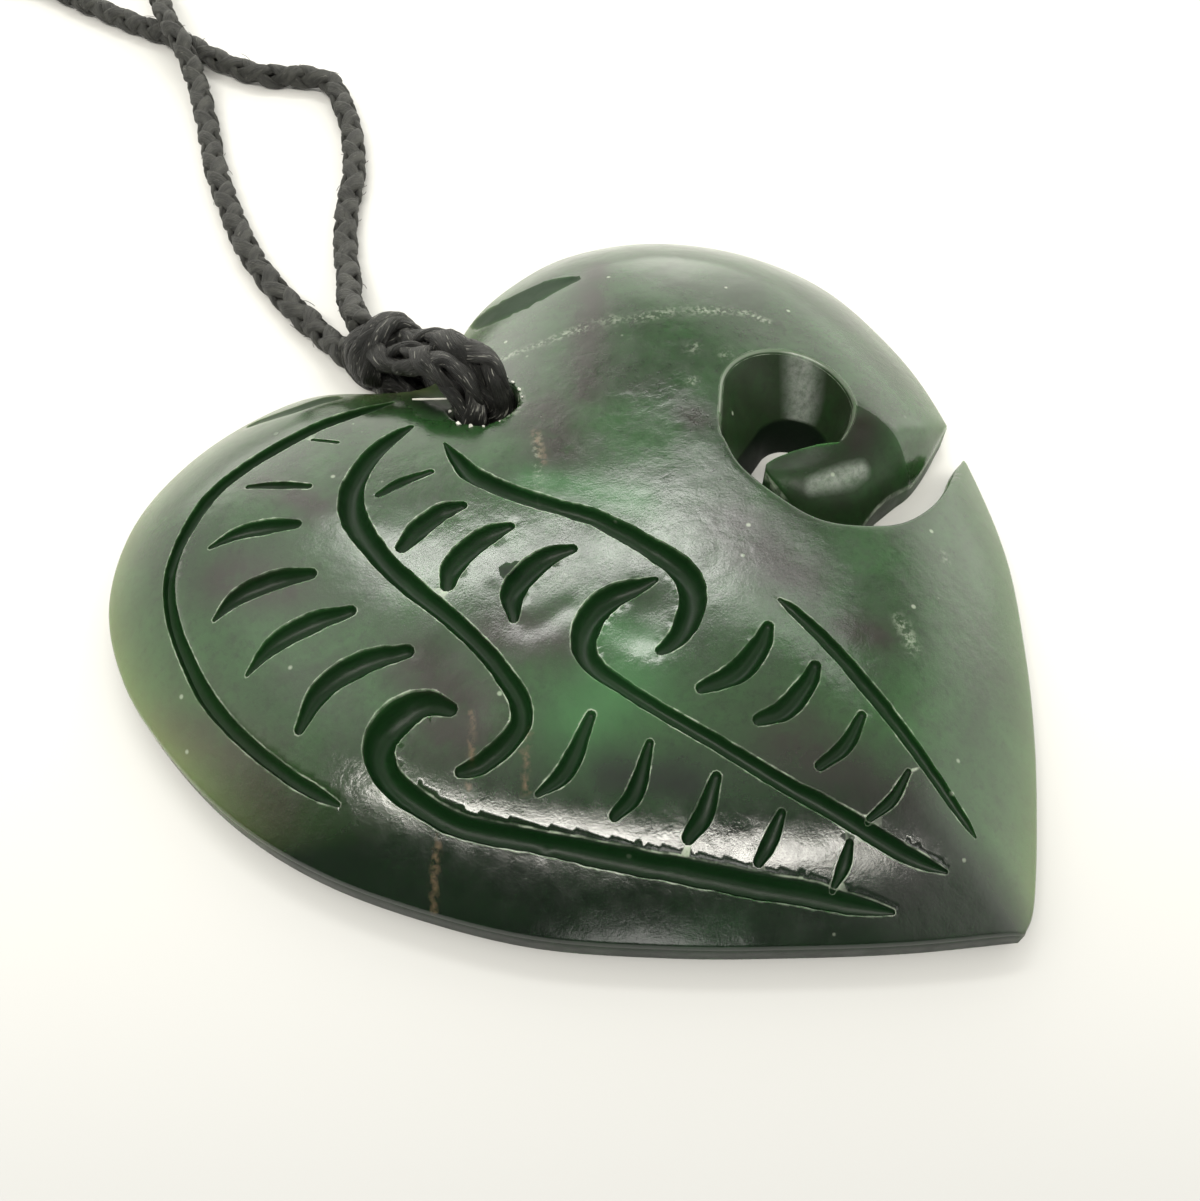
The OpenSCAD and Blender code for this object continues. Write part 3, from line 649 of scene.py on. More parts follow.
def smoothMin(a, b, soft):
    blend = np.clip(0.5 + 0.5 * (b - a) / soft, 0, 1)
    return b * (1 - blend) + a * blend - soft * blend * (1 - blend)


def domeWithChannel(points):
    y0, z0, y1, z1, radius = cordWayValues["front"]
    slope = (z1 - z0) / (y1 - y0)
    dx = points[:, 0] - cordWayValues["hole"][0]
    dip = np.sqrt(np.maximum(radius ** 2 - dx ** 2, 0)) * math.hypot(1, slope)
    channel = z0 + slope * (points[:, 1] - y0) - dip
    channel = np.where((np.abs(dx) < radius) & (points[:, 1] > y0 - 0.6), channel, 99)
    return smoothMin(domeHeight(points), channel, stoneValues["channelBlend"])


def tongueHeight(points):
    # the tongue's rounded top; far above the stone elsewhere
    height = np.full(len(points), 99.0)
    near = np.flatnonzero(insideOf(points, tongueZone))
    away, place, side = nearestOn(points[near], ridgeRun[:, :2])
    steps = np.arange(len(ridgeRun))
    across, top = np.interp(place, steps, ridgeRun[:, 2]), np.interp(place, steps, ridgeRun[:, 3])
    base = spiralValues["ridgeBase"]
    start, slope, soft = spiralValues["ridgeBevel"]
    bevel = slope * soft * np.log1p(np.exp((away - start) / soft)) * (side > 0)
    height[near] = base + (top - base) * np.sqrt(np.maximum(1 - (away / across) ** 3, 0)) - bevel
    return height


def uncutHeight(points):
    # the front before the bowl and the lines: dome, cord channel and rounded tongue
    height, tongue = domeWithChannel(points), tongueHeight(points)
    return np.where(tongue < 90, smoothMin(height, tongue, stoneValues["tongueBlend"]), height)


def blankHeight(points):
    bowl = np.where(tipReach(points) < 0.03, 99.0, bowlHeight(points))
    return smoothMin(uncutHeight(points), bowl, stoneValues["bowlBlend"])


def tipReach(points):
    # distance outside the tongue's tip, below 0 inside it
    away = nearestOn(points, np.vstack([tipLoop, tipLoop[:1]]))[0]
    return np.where(insideOf(points, tipLoop), -away, away)


class CarvedLine:
    # a carved line's middle run, with the half width on both sides of it wandering a little
    def __init__(self, rows, depthShare, seed):
        run = smoothLine(rows, stoneValues["lineStep"])
        self.middle = run[:, :2]
        half = np.maximum(run[:, 2] / 2, 0.08)
        self.left, self.right = (
            half * (1 + stoneValues["ragged"] * (noiseRun(len(run), fine, seed + k)
                                                 + noiseRun(len(run), broad, seed + k + 40)))
            for fine, broad, k in ((2.2, 7, 0), (2.6, 6, 80)))
        self.depth = half * 2 * depthShare

    def shares(self, points):
        # share of the way from the middle to the edge, and the depth there
        away, place, side = nearestOn(points, self.middle)
        steps = np.arange(len(self.middle))
        half = np.where(side > 0, np.interp(place, steps, self.left), np.interp(place, steps, self.right))
        return away / half, np.interp(place, steps, self.depth)

    def loop(self, share):
        # closed line round the cut at this share of its half width, with round ends
        left = offsetLine(self.middle, self.left * share)
        right = offsetLine(self.middle, -self.right * share)
        caps = []
        for first, last, way in ((left[-1], right[-1], self.middle[-1] - self.middle[-2]),
                                 (right[0], left[0], self.middle[0] - self.middle[1])):
            spoke = (first - last) / 2
            outwards = way / np.linalg.norm(way) * np.linalg.norm(spoke)
            turn = (np.arange(1, 5) * math.pi / 5)[:, None]
            caps.append((first + last) / 2 + np.cos(turn) * spoke + np.sin(turn) * outwards)
        return np.vstack([left, caps[0], right[::-1], caps[1], left[:1]])


carvedLines = [CarvedLine(rows, stoneValues["lineDepth"], i) for i, rows in enumerate(lineRows)]
carvedLines += [CarvedLine(rows, stoneValues["notchDepth"], 20 + i) for i, rows in enumerate(notchRows)]


def carving(points):
    # depth cut at each point, and how near it is to a carved edge, 1 on the edge
    cut = np.zeros(len(points))
    edge = np.zeros(len(points))
    for line in carvedLines:
        low, high = line.middle.min(0) - 1.6, line.middle.max(0) + 1.6
        near = insideBox(points, low, high)
        if not len(near):
            continue
        share, depth = line.shares(points[near])
        inside = np.clip(1 - share ** 2.4, 0, 1) ** 0.75  # the cut's section: a round-bottomed groove
        cut[near] = np.maximum(cut[near], depth * inside)
        edge[near] = np.maximum(edge[near], np.exp(-((share - 1) / 0.16) ** 2))
    return cut, edge


def slotDistance(points):
    # distance to the slot's walls, and 1 on its lower side; 9 where the spiral isn't near
    away = np.full(len(points), 9.0)
    lower = np.zeros(len(points))
    near = np.flatnonzero((points[:, 0] > 7) & (points[:, 1] < 8) & (points[:, 1] > -12))
    away[near] = nearestOn(points[near], np.vstack([slotLoop, slotLoop[:1]]))[0]
    lower[near] = nearestOn(points[near], slotMiddle)[2] > 0
    return away, lower


def rimDistance(points):
    # distance to the outline or the cord hole
    x, y, radius = cordWayValues["hole"]
    fromHole = np.abs(np.hypot(points[:, 0] - x, points[:, 1] - y) - radius)
    return np.minimum(nearestOn(points, outline)[0], fromHole)


def roundedOff(away, radius):
    return np.where(away < radius, radius - np.sqrt(np.maximum(radius ** 2 - (radius - away) ** 2, 0)), 0)


def frontHeight(points):
    # the finished front
    height = blankHeight(points)
    cut = carving(points)[0]
    slotAway, lower = slotDistance(points)
    x, y, reach, depth = spiralValues["mouthBevel"]
    worn = lower * depth * np.exp(-(np.hypot(points[:, 0] - x, points[:, 1] - y) / reach) ** 2)
    rounding = np.maximum(roundedOff(rimDistance(points), stoneValues["edgeRound"]),
                          roundedOff(slotAway, stoneValues["edgeRound"] + worn))
    for dip, stroke in hollowRows:
        rounding += dip * strokeShare(points, [stroke])
    return np.maximum(height - cut - rounding, 0.2)


def lineRound(middle, near, far, count, isInside, away=0.0):
    # the edge of a shape round its middle, found by halving, and moved outwards by away
    turn = np.linspace(0, 2 * math.pi, count)
    way = np.stack([np.cos(turn), np.sin(turn)], 1)
    low, high = np.full(count, float(near)), np.full(count, float(far))
    for _ in range(24):
        half = (low + high) / 2
        inside = isInside(middle + way * half[:, None])
        low, high = np.where(inside, half, low), np.where(inside, high, half)
    return middle + way * (low + away)[:, None]


def bowlRim(away):
    # where the bowl meets the front
    return lineRound(spiralValues["rimMiddle"], 0.5, spiralValues["bowlReach"], 181,
                     lambda p: bowlHeight(p) < uncutHeight(p), away)


def sectionLine(z):
    # outline of the bowl's section at height z
    return lineRound(spiralValues["sectionMiddle"], 0, 8, 121, lambda p: bowlReach(p, z) < 0)


def grownTip(away):
    # the upper edge of the tongue's tip, moved outwards by away
    return offsetLine(evenRun(tipLoop[:7], 0.2, 2), away)


def frontLines():
    # every edge that the front's triangles follow
    lines = []
    for line in carvedLines:
        lines.append(line.middle)
        lines += [line.loop(share) for share in stoneValues["cutShares"]]
    for inset in stoneValues["rimInsets"]:
        lines.append(offsetLine(outline, inset) if inset else outline)
        lines.append(offsetLine(slotMiddle, slotHalf + inset))
        lines.append(offsetLine(slotMiddle, -slotHalf - inset))
        lines.append(circleLine(*cordWayValues["hole"][:2], cordWayValues["hole"][2] + inset, 0.25))
    lines += [bowlRim(away) for away in stoneValues["bowlInsets"]]
    lines += [sectionLine(z) for z in stoneValues["bowlLevels"]]
    for stroke in rimHollows:
        run = smoothLine(stroke, 0.4)
        lines += [offsetLine(run[:, :2], share * run[:, 2])
                  for share in (-1.15, -0.8, -0.4, 0, 0.4, 0.8, 1.15)]
    lines += [grownTip(-0.12), grownTip(0), grownTip(0.06), roughEnd]
    return lines


def buildFront():
    # Triangles between all the front's lines, by Blender's own Delaunay fill. The mesh operators can't
    # follow so many crossing lines and leave the polish smooth.
    floorLine = sectionLine(spiralValues["bowlFloor"])
    points, edges = [], []
    for line in frontLines() + [floorLine]:
        closed = np.allclose(line[0], line[-1])
        line = line[:-1] if closed else line
        start = len(points)
        points += line.tolist()
        edges += [(start + i, start + i + 1) for i in range(len(line) - 1)]
        if closed:
            edges.append((start + len(line) - 1, start))
    step = stoneValues["fillStep"]  # fill points in rows of even triangles over the whole heart
    xs = np.arange(-30, 31.5, step)
    ys = np.arange(-31, 31, step * 0.866)
    gx, gy = np.meshgrid(xs, ys)
    gx[1::2] += step / 2
    fill = np.stack([gx.ravel(), gy.ravel()], 1)
    fill = fill[insideOf(fill, outline)]
    # fill points keep about 0.2 mm off the lines: the lines are drawn thick on a board of small cells
    cell, edge, reach = 0.1, 35, range(-2, 3)
    taken = np.zeros((int(2 * edge / cell),) * 2, bool)
    marks = np.round((np.array(points) + edge) / cell).astype(int)
    marks = marks[((marks > 3) & (marks < len(taken) - 4)).all(1)]
    for dx, dy in ((dx, dy) for dx in reach for dy in reach if dx * dx + dy * dy < 6):
        taken[marks[:, 0] + dx, marks[:, 1] + dy] = True
    spots = np.round((fill + edge) / cell).astype(int)
    points += fill[~taken[spots[:, 0], spots[:, 1]]].tolist()
    corners = [Vector(p) for p in points]
    verts, _, faces = geometry.delaunay_2d_cdt(corners, edges, [], 0, 1e-5, False)[:3]
    verts = np.array([tuple(v) for v in verts])
    faces = np.array([f for f in faces if len(f) == 3])
    middles = verts[faces].mean(1)
    x, y, radius = cordWayValues["hole"]
    pierced = insideOf(middles, slotLoop) | (insideOf(middles, floorLine) & (tipReach(middles) > 0.03))
    keep = (insideOf(middles, outline) & ~pierced
            & (np.hypot(middles[:, 0] - x, middles[:, 1] - y) > radius * 0.999))
    bm = bmesh.new()
    heights = frontHeight(verts)
    used = {}
    for face in faces[keep].tolist():
        for k in face:
            if k not in used:
                used[k] = bm.verts.new((verts[k, 0], verts[k, 1], heights[k]))
        bm.faces.new([used[k] for k in face])
    return bm


def chamferBack(lower):
    # the lowest ring of the edge wall drawn in, all of it towards the middle near the sharp tip
    flat = np.array([tuple(v.co)[:2] for v in lower])
    away, place, _ = nearestOn(flat, outline)
    steps = np.arange(len(outline))
    along = waysAlong(outline)
    inwards = np.stack([-np.interp(place, steps, along[:, 1]), np.interp(place, steps, along[:, 0])], 1)
    tip = np.clip(np.hypot(flat[:, 0], flat[:, 1] - outline[0, 1]) / 1.2, 0, 1)[:, None]
    inwards = inwards * tip + np.array([0, 1.15]) * (1 - tip)
    for k, vert in enumerate(lower):
        if away[k] < 0.01:
            vert.co.x += inwards[k, 0] * stoneValues["backChamfer"]
            vert.co.y += inwards[k, 1] * stoneValues["backChamfer"]


crumbValues = {
    # x, y and radius of each crumb
    "crumbs": [(2.85, 18.2, 0.16), (2.8, 17.3, 0.128), (2.6, 16.3, 0.12), (2.2, 15.5, 0.088),
               (-2.55, 16.4, 0.192), (-2.1, 15.6, 0.144), (-1.5, 15, 0.096), (-0.4, 14.6, 0.08),
               (-1.7, 18.7, 0.128)],
    # how far its corners stray and its middle stands up, as shares of the radius
    "rugged": 0.75, "lift": 0.375,
    "thread": [(-3.2, 20.9, 6.05), (-1.75, 18.8, 6.75)],
    "threadRadius": (0.06, 0.08),                  # where it is thin and thick
    "seed": 4,                                     # without one, the crumbs differ from run to run
}


def addCrumbs(bm):
    # crumbs of dried wax round the cord hole, and one white thread end beside the loop
    values = crumbValues
    noise.seed_set(values["seed"])
    for x, y, radius in values["crumbs"]:
        z = float(frontHeight(np.array([[x, y]]))[0]) + radius * values["lift"]
        made = bmesh.ops.create_icosphere(bm, subdivisions=1, radius=radius,
                                          matrix=Matrix.Translation((x, y, z)))["verts"]
        for vert in made:
            vert.co += noise.noise_vector(vert.co * 5) * radius * values["rugged"]
    start, end = (Vector(place) for place in values["thread"])
    radii = values["threadRadius"]
    turn = (end - start).to_track_quat("Z", "Y").to_matrix().to_4x4()
    for k in range(4):
        bmesh.ops.create_cone(bm, cap_ends=True, segments=6, radius1=radii[k % 2],
                              radius2=radii[(k + 1) % 2], depth=(end - start).length / 4 * 1.05,
                              matrix=Matrix.Translation(start.lerp(end, (k + 0.5) / 4)) @ turn)


def buildStone(material):
    # the front, its rims drawn down to the back in two steps, a flat back, and the crumbs
    bm = buildFront()
    print("front", len(bm.verts), "points")
    for level in (stoneValues["backChamfer"], 0.0):
        rim = [e for e in bm.edges if e.is_boundary]
        grown = bmesh.ops.extrude_edge_only(bm, edges=rim)["geom"]
        lower = [v for v in grown if isinstance(v, bmesh.types.BMVert)]
        for vert in lower:
            vert.co.z = min(vert.co.z * 0.6, level)
    chamferBack(lower)
    rim = [e for e in bm.edges if e.is_boundary]
    bmesh.ops.triangle_fill(bm, use_beauty=True, edges=rim, normal=(0, 0, -1))
    bmesh.ops.recalc_face_normals(bm, faces=bm.faces)
    for face in bm.faces:
        face.smooth = True
    stoneFaces = set(bm.faces)
    addCrumbs(bm)
    for face in bm.faces:
        if face not in stoneFaces:
            face.material_index = 2
    openEdges = sum(not e.is_manifold for e in bm.edges)
    print("stone shell", len(bm.faces), "faces,", openEdges, "open edges")
    return finishPiece("nephrite_heart", bm, material, "heart_stone")


# Marks in and on the stone, and where light and shade are painted on it: strokes of x, y and half width,
# followed along their middles.
stoneMarksAndPaintedLight = {
    "violet": [
        [(15.8, 23.5, 1.1), (11.8, 19.4, 1.4), (8.8, 16.3, 1.5), (5.4, 12.7, 1.5)],
        [(2.4, 13.4, 2.2), (0.6, 9.6, 2)], [(9.2, 6.1, 1), (9.2, 5.6, 1)],
        [(4.8, -2.4, 2.6), (4.7, -7.3, 2.6)], [(4.9, -12.1, 1.5), (5.8, -13.4, 1.2)],
        [(-0.4, -21, 1.7), (-2.6, -23.8, 1.8)], [(-20.9, 15.5, 2), (-18.5, 12, 1.5)],
        [(-29, 11.4, 1.6), (-27, 7, 1.6), (-26.4, 2, 1.8)], [(-15.7, 2.6, 1.8), (-15.2, -2.3, 2.2)],
        [(-17.2, -1.9, 2.4), (-16, -3, 2)], [(-10.9, 1, 1.8), (-8.7, -1.8, 1.8)],
        [(-15.3, 20.4, 1), (-13.8, 15.9, 1.2)], [(-3.1, -15, 2.2), (-1.7, -20.2, 2)],
        [(18.6, -1, 1.4), (17.4, -1.8, 1.4)],
    ],
    "deep": [
        [(-11.8, -9.9, 2), (-9, -12.9, 1.8)], [(-23.9, -6.1, 1.6), (-21.8, -9.7, 2), (-18.7, -13.6, 2)],
    ],
    "chips": [
        [(-8.1, 4.05, 0.4), (-7.4, 3.65, 0.5), (-6.6, 2.95, 0.35)],
        [(-8.5, 3.1, 0.35), (-9.3, 1.9, 0.35), (-9.7, 1.2, 0.25)],
    ],
    # painted shade: the bed of the cord beside the hole, dark where the loop shades it
    "shadeUnderCord": [[(-0.9, 24, 1.3), (-1.6, 21.4, 1.5), (-2.2, 19, 1.3)]],
    # the tongue: darker as painted shade, and duller in finish
    "tongue": [
        [(13.1, 1, 1.5), (14.4, 0, 1.8), (16, -1.4, 2.2), (18, -2.2, 1.8)],
        [(12.3, -1.2, 1.2), (13.5, -3.2, 1.5), (15.3, -4.3, 1.4), (18, -5, 1.5)],
    ],
    # painted glow: brighter green patches where light seems to shine through the stone
    "glow": [
        [(-5.4, -5.1, 1.8), (-6.6, -2.8, 1.4)], [(-7.2, -6, 2.6), (-10.8, -6.4, 2.6)],
        [(-13.6, -18.2, 0.9), (-11.4, -19.6, 0.9)], [(1.5, 3, 1.4), (-2.4, 9, 1)],
    ],
    "streak": [
        [(4.1, 20.5, 0.25), (7.5, 18.7, 0.3), (10.9, 17.4, 0.5), (13.2, 15.7, 0.4), (16.1, 14.1, 0.5),
         (19.3, 11.6, 0.35), (20.2, 9.7, 0.25)],
        [(13.9, 10.9, 0.4), (13.4, 10.7, 0.4)], [(15.5, 9.1, 0.4), (15, 8.9, 0.4)],
        [(11.6, 8.5, 0.3), (11.2, 8.3, 0.3)],
        [(7.8, -13.4, 0.35), (7, -15.3, 0.4)], [(14.5, -11.6, 0.25), (14.1, -12, 0.25)],
        [(-5.8, 1.5, 0.3), (-5.4, 1.2, 0.3)], [(0.4, 11.6, 0.25), (-2.9, 7.3, 0.2)],
        [(2.72, 16.85, 0.1), (2.35, 15.8, 0.12), (1.65, 15.1, 0.14), (0.8, 14.72, 0.12),
         (-0.2, 14.62, 0.1)],
    ],
    "vein": [
        [(-15.3, -1.9, 0.1), (-16.6, -3.6, 0.13), (-18.1, -5.1, 0.1)],
        [(-13.3, -4.5, 0.1), (-15.9, -7.4, 0.13)],
        [(-20.9, -5.9, 0.12), (-22, -6.9, 0.15), (-23.1, -8.1, 0.1)], [(0.6, 12, 0.25), (-0.8, 9.5, 0.25)],
    ],
    # painted highlights on the bowl's far wall and the tongue's crest, with real scuffing
    "scuffAndHighlight": [
        [(20, 6.1, 1.3), (19.2, 5.1, 1.2), (18.4, 4, 1.1)],
        [(13.4, -1.6, 0.5), (15.4, -2.6, 0.7), (16.8, -3, 0.5)],
    ],
}
markValues = {
    "rimWidth": 0.16, "bowlLineWidth": 0.13,       # of the pale lines along edges: worn, and in part a painted highlight
    "bowlLine": 3.5,       # a rim value above 1, by which the material knows the bowl's thinner line
    "nearWay": (0.65, 0.76), "nearSide": (-18, -12),  # way across the heart, and where its near side ends
    "litSide": (0, 2.5),   # x from which the wall is lit even on the near side
    "aboveWay": (-0.45, 0.9), "aboveHole": (16.85, 17.85),  # the same for the channel above the hole
    # depths in mm, or shares of a stroke, from which something counts and at which it counts in full
    "carvedFrom": (0, 0.25), "bowlFrom": (0, 0.5), "channelFrom": (0.3, 0.8), "hollowFrom": (0.3, 0.55),
    "glowReach": 1.45,     # how far light comes in from the thin edge
    "wallTop": 0.6,        # the front starts above this, and below backTop is the flat back
    "backTop": 0.05,
    "boreTop": 2.82,
}


def ramp(value, span):
    # 0 to 1 across the span
    return np.clip((value - span[0]) / (span[1] - span[0]), 0, 1)


def markStone(piece):
    # the marks, the carving and the distance to the rim, written on the mesh for the material
    mesh, values = piece.data, markValues
    places = np.empty(len(mesh.vertices) * 3, np.float32)
    mesh.vertices.foreach_get("co", places)
    places = places.reshape(-1, 3).astype(float) / mm
    points, height = places[:, :2], places[:, 2]
    front = height > values["wallTop"]
    marks = {name: strokeShare(points, strokes) for name, strokes in stoneMarksAndPaintedLight.items()}
    cut, edge = carving(points)
    nearSide = ramp(points @ values["nearWay"], values["nearSide"])
    rimAway = np.minimum(slotDistance(points)[0], rimDistance(points))
    # pale edges: real wear, in part a painted highlight, fainter on the near side as painted shade
    rim = np.maximum(np.exp(-(rimAway / values["rimWidth"]) ** 2) * (0.55 + 0.45 * nearSide), edge)
    onTip = tipReach(points)
    bowlLine = np.exp(-(nearestOn(points, bowlRim(0))[0] / values["bowlLineWidth"]) ** 2) * (onTip > 0.1)
    rim = np.maximum(rim, values["bowlLine"] * bowlLine)
    # painted glow: light seems to show through the thin rim, but not on the near left side, which has only
    # shade behind it
    litSide = np.maximum(nearSide, ramp(points[:, 0], values["litSide"]))
    edgeGlow = np.exp(-nearestOn(points, outline)[0] / values["glowReach"]) * litSide
    # inside the bowl, which gets a little painted shade (through deep)
    inBowl = ramp(uncutHeight(points) - bowlHeight(points), values["bowlFrom"]) * (onTip > 0.03)
    # painted shade: the bore is coloured darkest
    inBore = insideOf(points, bowlRim(0.05)) & (height < values["boreTop"]) & (marks["tongue"] < 0.3)
    # painted shade: the cord channel above the hole, darkened where the cord shades it
    inChannel = ramp(domeHeight(points) - domeWithChannel(points), values["channelFrom"])
    inChannel *= ramp(points @ values["aboveWay"], values["aboveHole"])
    hollow = ramp(strokeShare(points, rimHollows), values["hollowFrom"])
    # carved lines and the two hollows, which the material colours darker green as painted shade
    carved = np.maximum(ramp(cut, values["carvedFrom"]), hollow)
    # scuffs with their painted highlight, on the bowl's wall and the tongue only
    scuffAndHighlight = (marks["scuffAndHighlight"] * np.maximum(np.minimum(inBowl * 3, 1), marks["tongue"] > 0.2) * ~inBore)
    violet = np.maximum(marks["violet"], np.maximum(inBowl, marks["tongue"]) * 0.6)
    # painted shade in deep: under the cord, on the tongue, in the bowl, bore and cord channel, on the near
    # left side and on the edge walls
    deep = np.maximum.reduce([marks["deep"], marks["shadeUnderCord"], marks["chips"], marks["tongue"] * 0.35,
                              inBowl * 0.15, inBore, inChannel * 0.4, 0.95 * (1 - litSide), 0.4 * ~front])
    for name, columns in (
            ("stoneCutsRimsAndGlow", (carved * front, rim * front, edgeGlow * front)),
            ("stoneCloudsShadeAndGlow", (violet, deep, marks["glow"])),
            ("stoneMarksAndPaintedLight", (marks["streak"] * front, marks["vein"] * front, scuffAndHighlight * front))):
        layer = mesh.attributes.new(name, "FLOAT_VECTOR", "POINT")
        layer.data.foreach_set("vector", np.stack(columns, 1).astype(np.float32).ravel())
    # finishes: 0 polished, 1 as cut, 2 wax, 3 matt
    dull = np.maximum.reduce([cut / 0.07, hollow * 2, inChannel / 0.35, inBowl * 2, marks["chips"] * 2.5])
    dull = (dull * front > 1) | (~front & (height > values["backTop"]))
    finish = np.where(inBore | (marks["shadeUnderCord"] > 0.3) | (hollow > 0.6), 3, dull)
    middles = np.array([face.center[:] for face in mesh.polygons]) / mm
    rough = insideOf(middles[:, :2], roughZone) & insideOf(middles[:, :2], tongueZone)
    rough &= middles[:, 2] > values["wallTop"]
    slots = [face.material_index or max(int(finish[list(face.vertices)].max()), int(rough[face.index]))
             for face in mesh.polygons]
    mesh.polygons.foreach_set("material_index", slots)


stoneLook = {
    "deep": "#060f09", "body": "#1a3018", "haze": "#264a24", "violet": "#21221a", "glow": "#36663a",
    "streak": "#aab5a2", "vein": "#5d4f3c", "cut": "#08230b", "worn": "#a3ae9c", "scuffAndHighlight": "#8e968e",
    # tints of the painted glow along thin edges
    "leftRim": "#7f8f52", "rightRim": "#70835f", "rimSpan": (-10, 12),  # x where the left tint ends
    # noise patterns: size in mm, detail, roughness and distortion
    "patterns": {
        "clouds": (7, 5, 0.6, 0.6), "broad": (13, 3, 0.55, 1), "mottle": (1.6, 5, 0.65, 0),
        "darkGrain": (0.5, 6, 0.75, 0), "fine": (0.35, 3, 0.6, 0), "scuffAndHighlightGrain": (0.5, 5, 0.7, 0),
        "streakGaps": (2.2, 2, 0.55, 0), "wearGrain": (0.6, 4, 0.55, 0), "wearGaps": (3.2, 2, 0.55, 0),
        "wave": (4.5, 2, 0.4, 0), "peel": (0.8, 3, 0.5, 0), "scratches": (0.15, 3, 0.7, 0),
    },
    "grainMm": 1.9,        # between the small pale grains
    # Tints, one over the other. Each one's share is a product of ranges: a pattern or mark, where the
    # range starts and ends, and the share at both ends. With two products, the larger one counts.
    "layers": [
        ("haze", [("clouds", 0.36, 0.68, 0, 1)]),
        ("body", [("mottle", 0.5, 0.75, 0, 0.55)]),
        ("deep", [("darkGrain", 0.5, 0.72, 0, 0.5)]),
        # violet clouds, broken up by the mottling, and fainter ones all through the stone
        ("violet", [("violet", 0, 1, 0, 1), ("mottle", 0.3, 0.5, 0.5, 1)],
         [("broad", 0.52, 0.68, 0, 0.25), ("mottle", 0.36, 0.6, 0, 1)]),
        # painted glow of light through the stone
        ("glow", [("glow", 0, 1, 0, 0.6)]),
        # darker green: darker stone, and the painted shade that the marks carry
        ("deep", [("deep", 0, 1, 0, 0.9)]),
        # painted glow of the thin edges
        ("rim", [("edgeGlow", 0, 1, 0, 0.52)]),
        # painted highlight of the scuff patches
        ("scuffAndHighlight", [("scuffAndHighlight", 0.15, 0.95, 0, 1), ("scuffAndHighlightGrain", 0.35, 0.6, 0.35, 0.72)]),
        ("streak", [("streak", 0, 1, 0, 0.5), ("fine", 0.46, 0.62, 0, 1),
                    ("streakGaps", 0.4, 0.58, 0.35, 1)]),
        ("vein", [("vein", 0, 1, 0, 1), ("fine", 0.38, 0.6, 0, 1)]),
        ("streak", [("grainReach", 0.1, 0.05, 0, 0.5), ("grainPick", 0.7, 0.75, 0, 1)]),
        # painted shade: carved lines and hollows a darker green
        ("cut", [("cut", 0, 1, 0, 0.85)]),
        # pale edges, worn and in part a painted highlight, patchy along their length, and the bowl's thin
        # line
        ("worn", [("rim", 0.78, 1, 0, 1), ("rim", 1.02, 1.2, 1, 0), ("wearGrain", 0.4, 0.6, 0.25, 1),
                  ("wearGaps", 0.4, 0.6, 0.15, 0.8)], [("rim", 1.7, 2.4, 0, 0.22)]),
    ],
    # heights: the polish's waves, its orange peel and fine scratches, and how deep each is in mm
    "bumps": [([("wave", 0, 1, 0, 1)], 0.08),
              ([("peel", 0, 1, 0, 1), ("broad", 0.45, 0.7, 0.4, 1.3)], 0.026),
              ([("scratches", 0, 1, 0, 1)], 0.007)],
    "ior": 1.61,
    # roughness, specular level and share of light that soaks in, of each finish
    "polished": (0.15, 0.5, 0.35), "asCut": (0.36, 0.12, 0.5), "matt": (0.5, 0.08, 0.2),
}


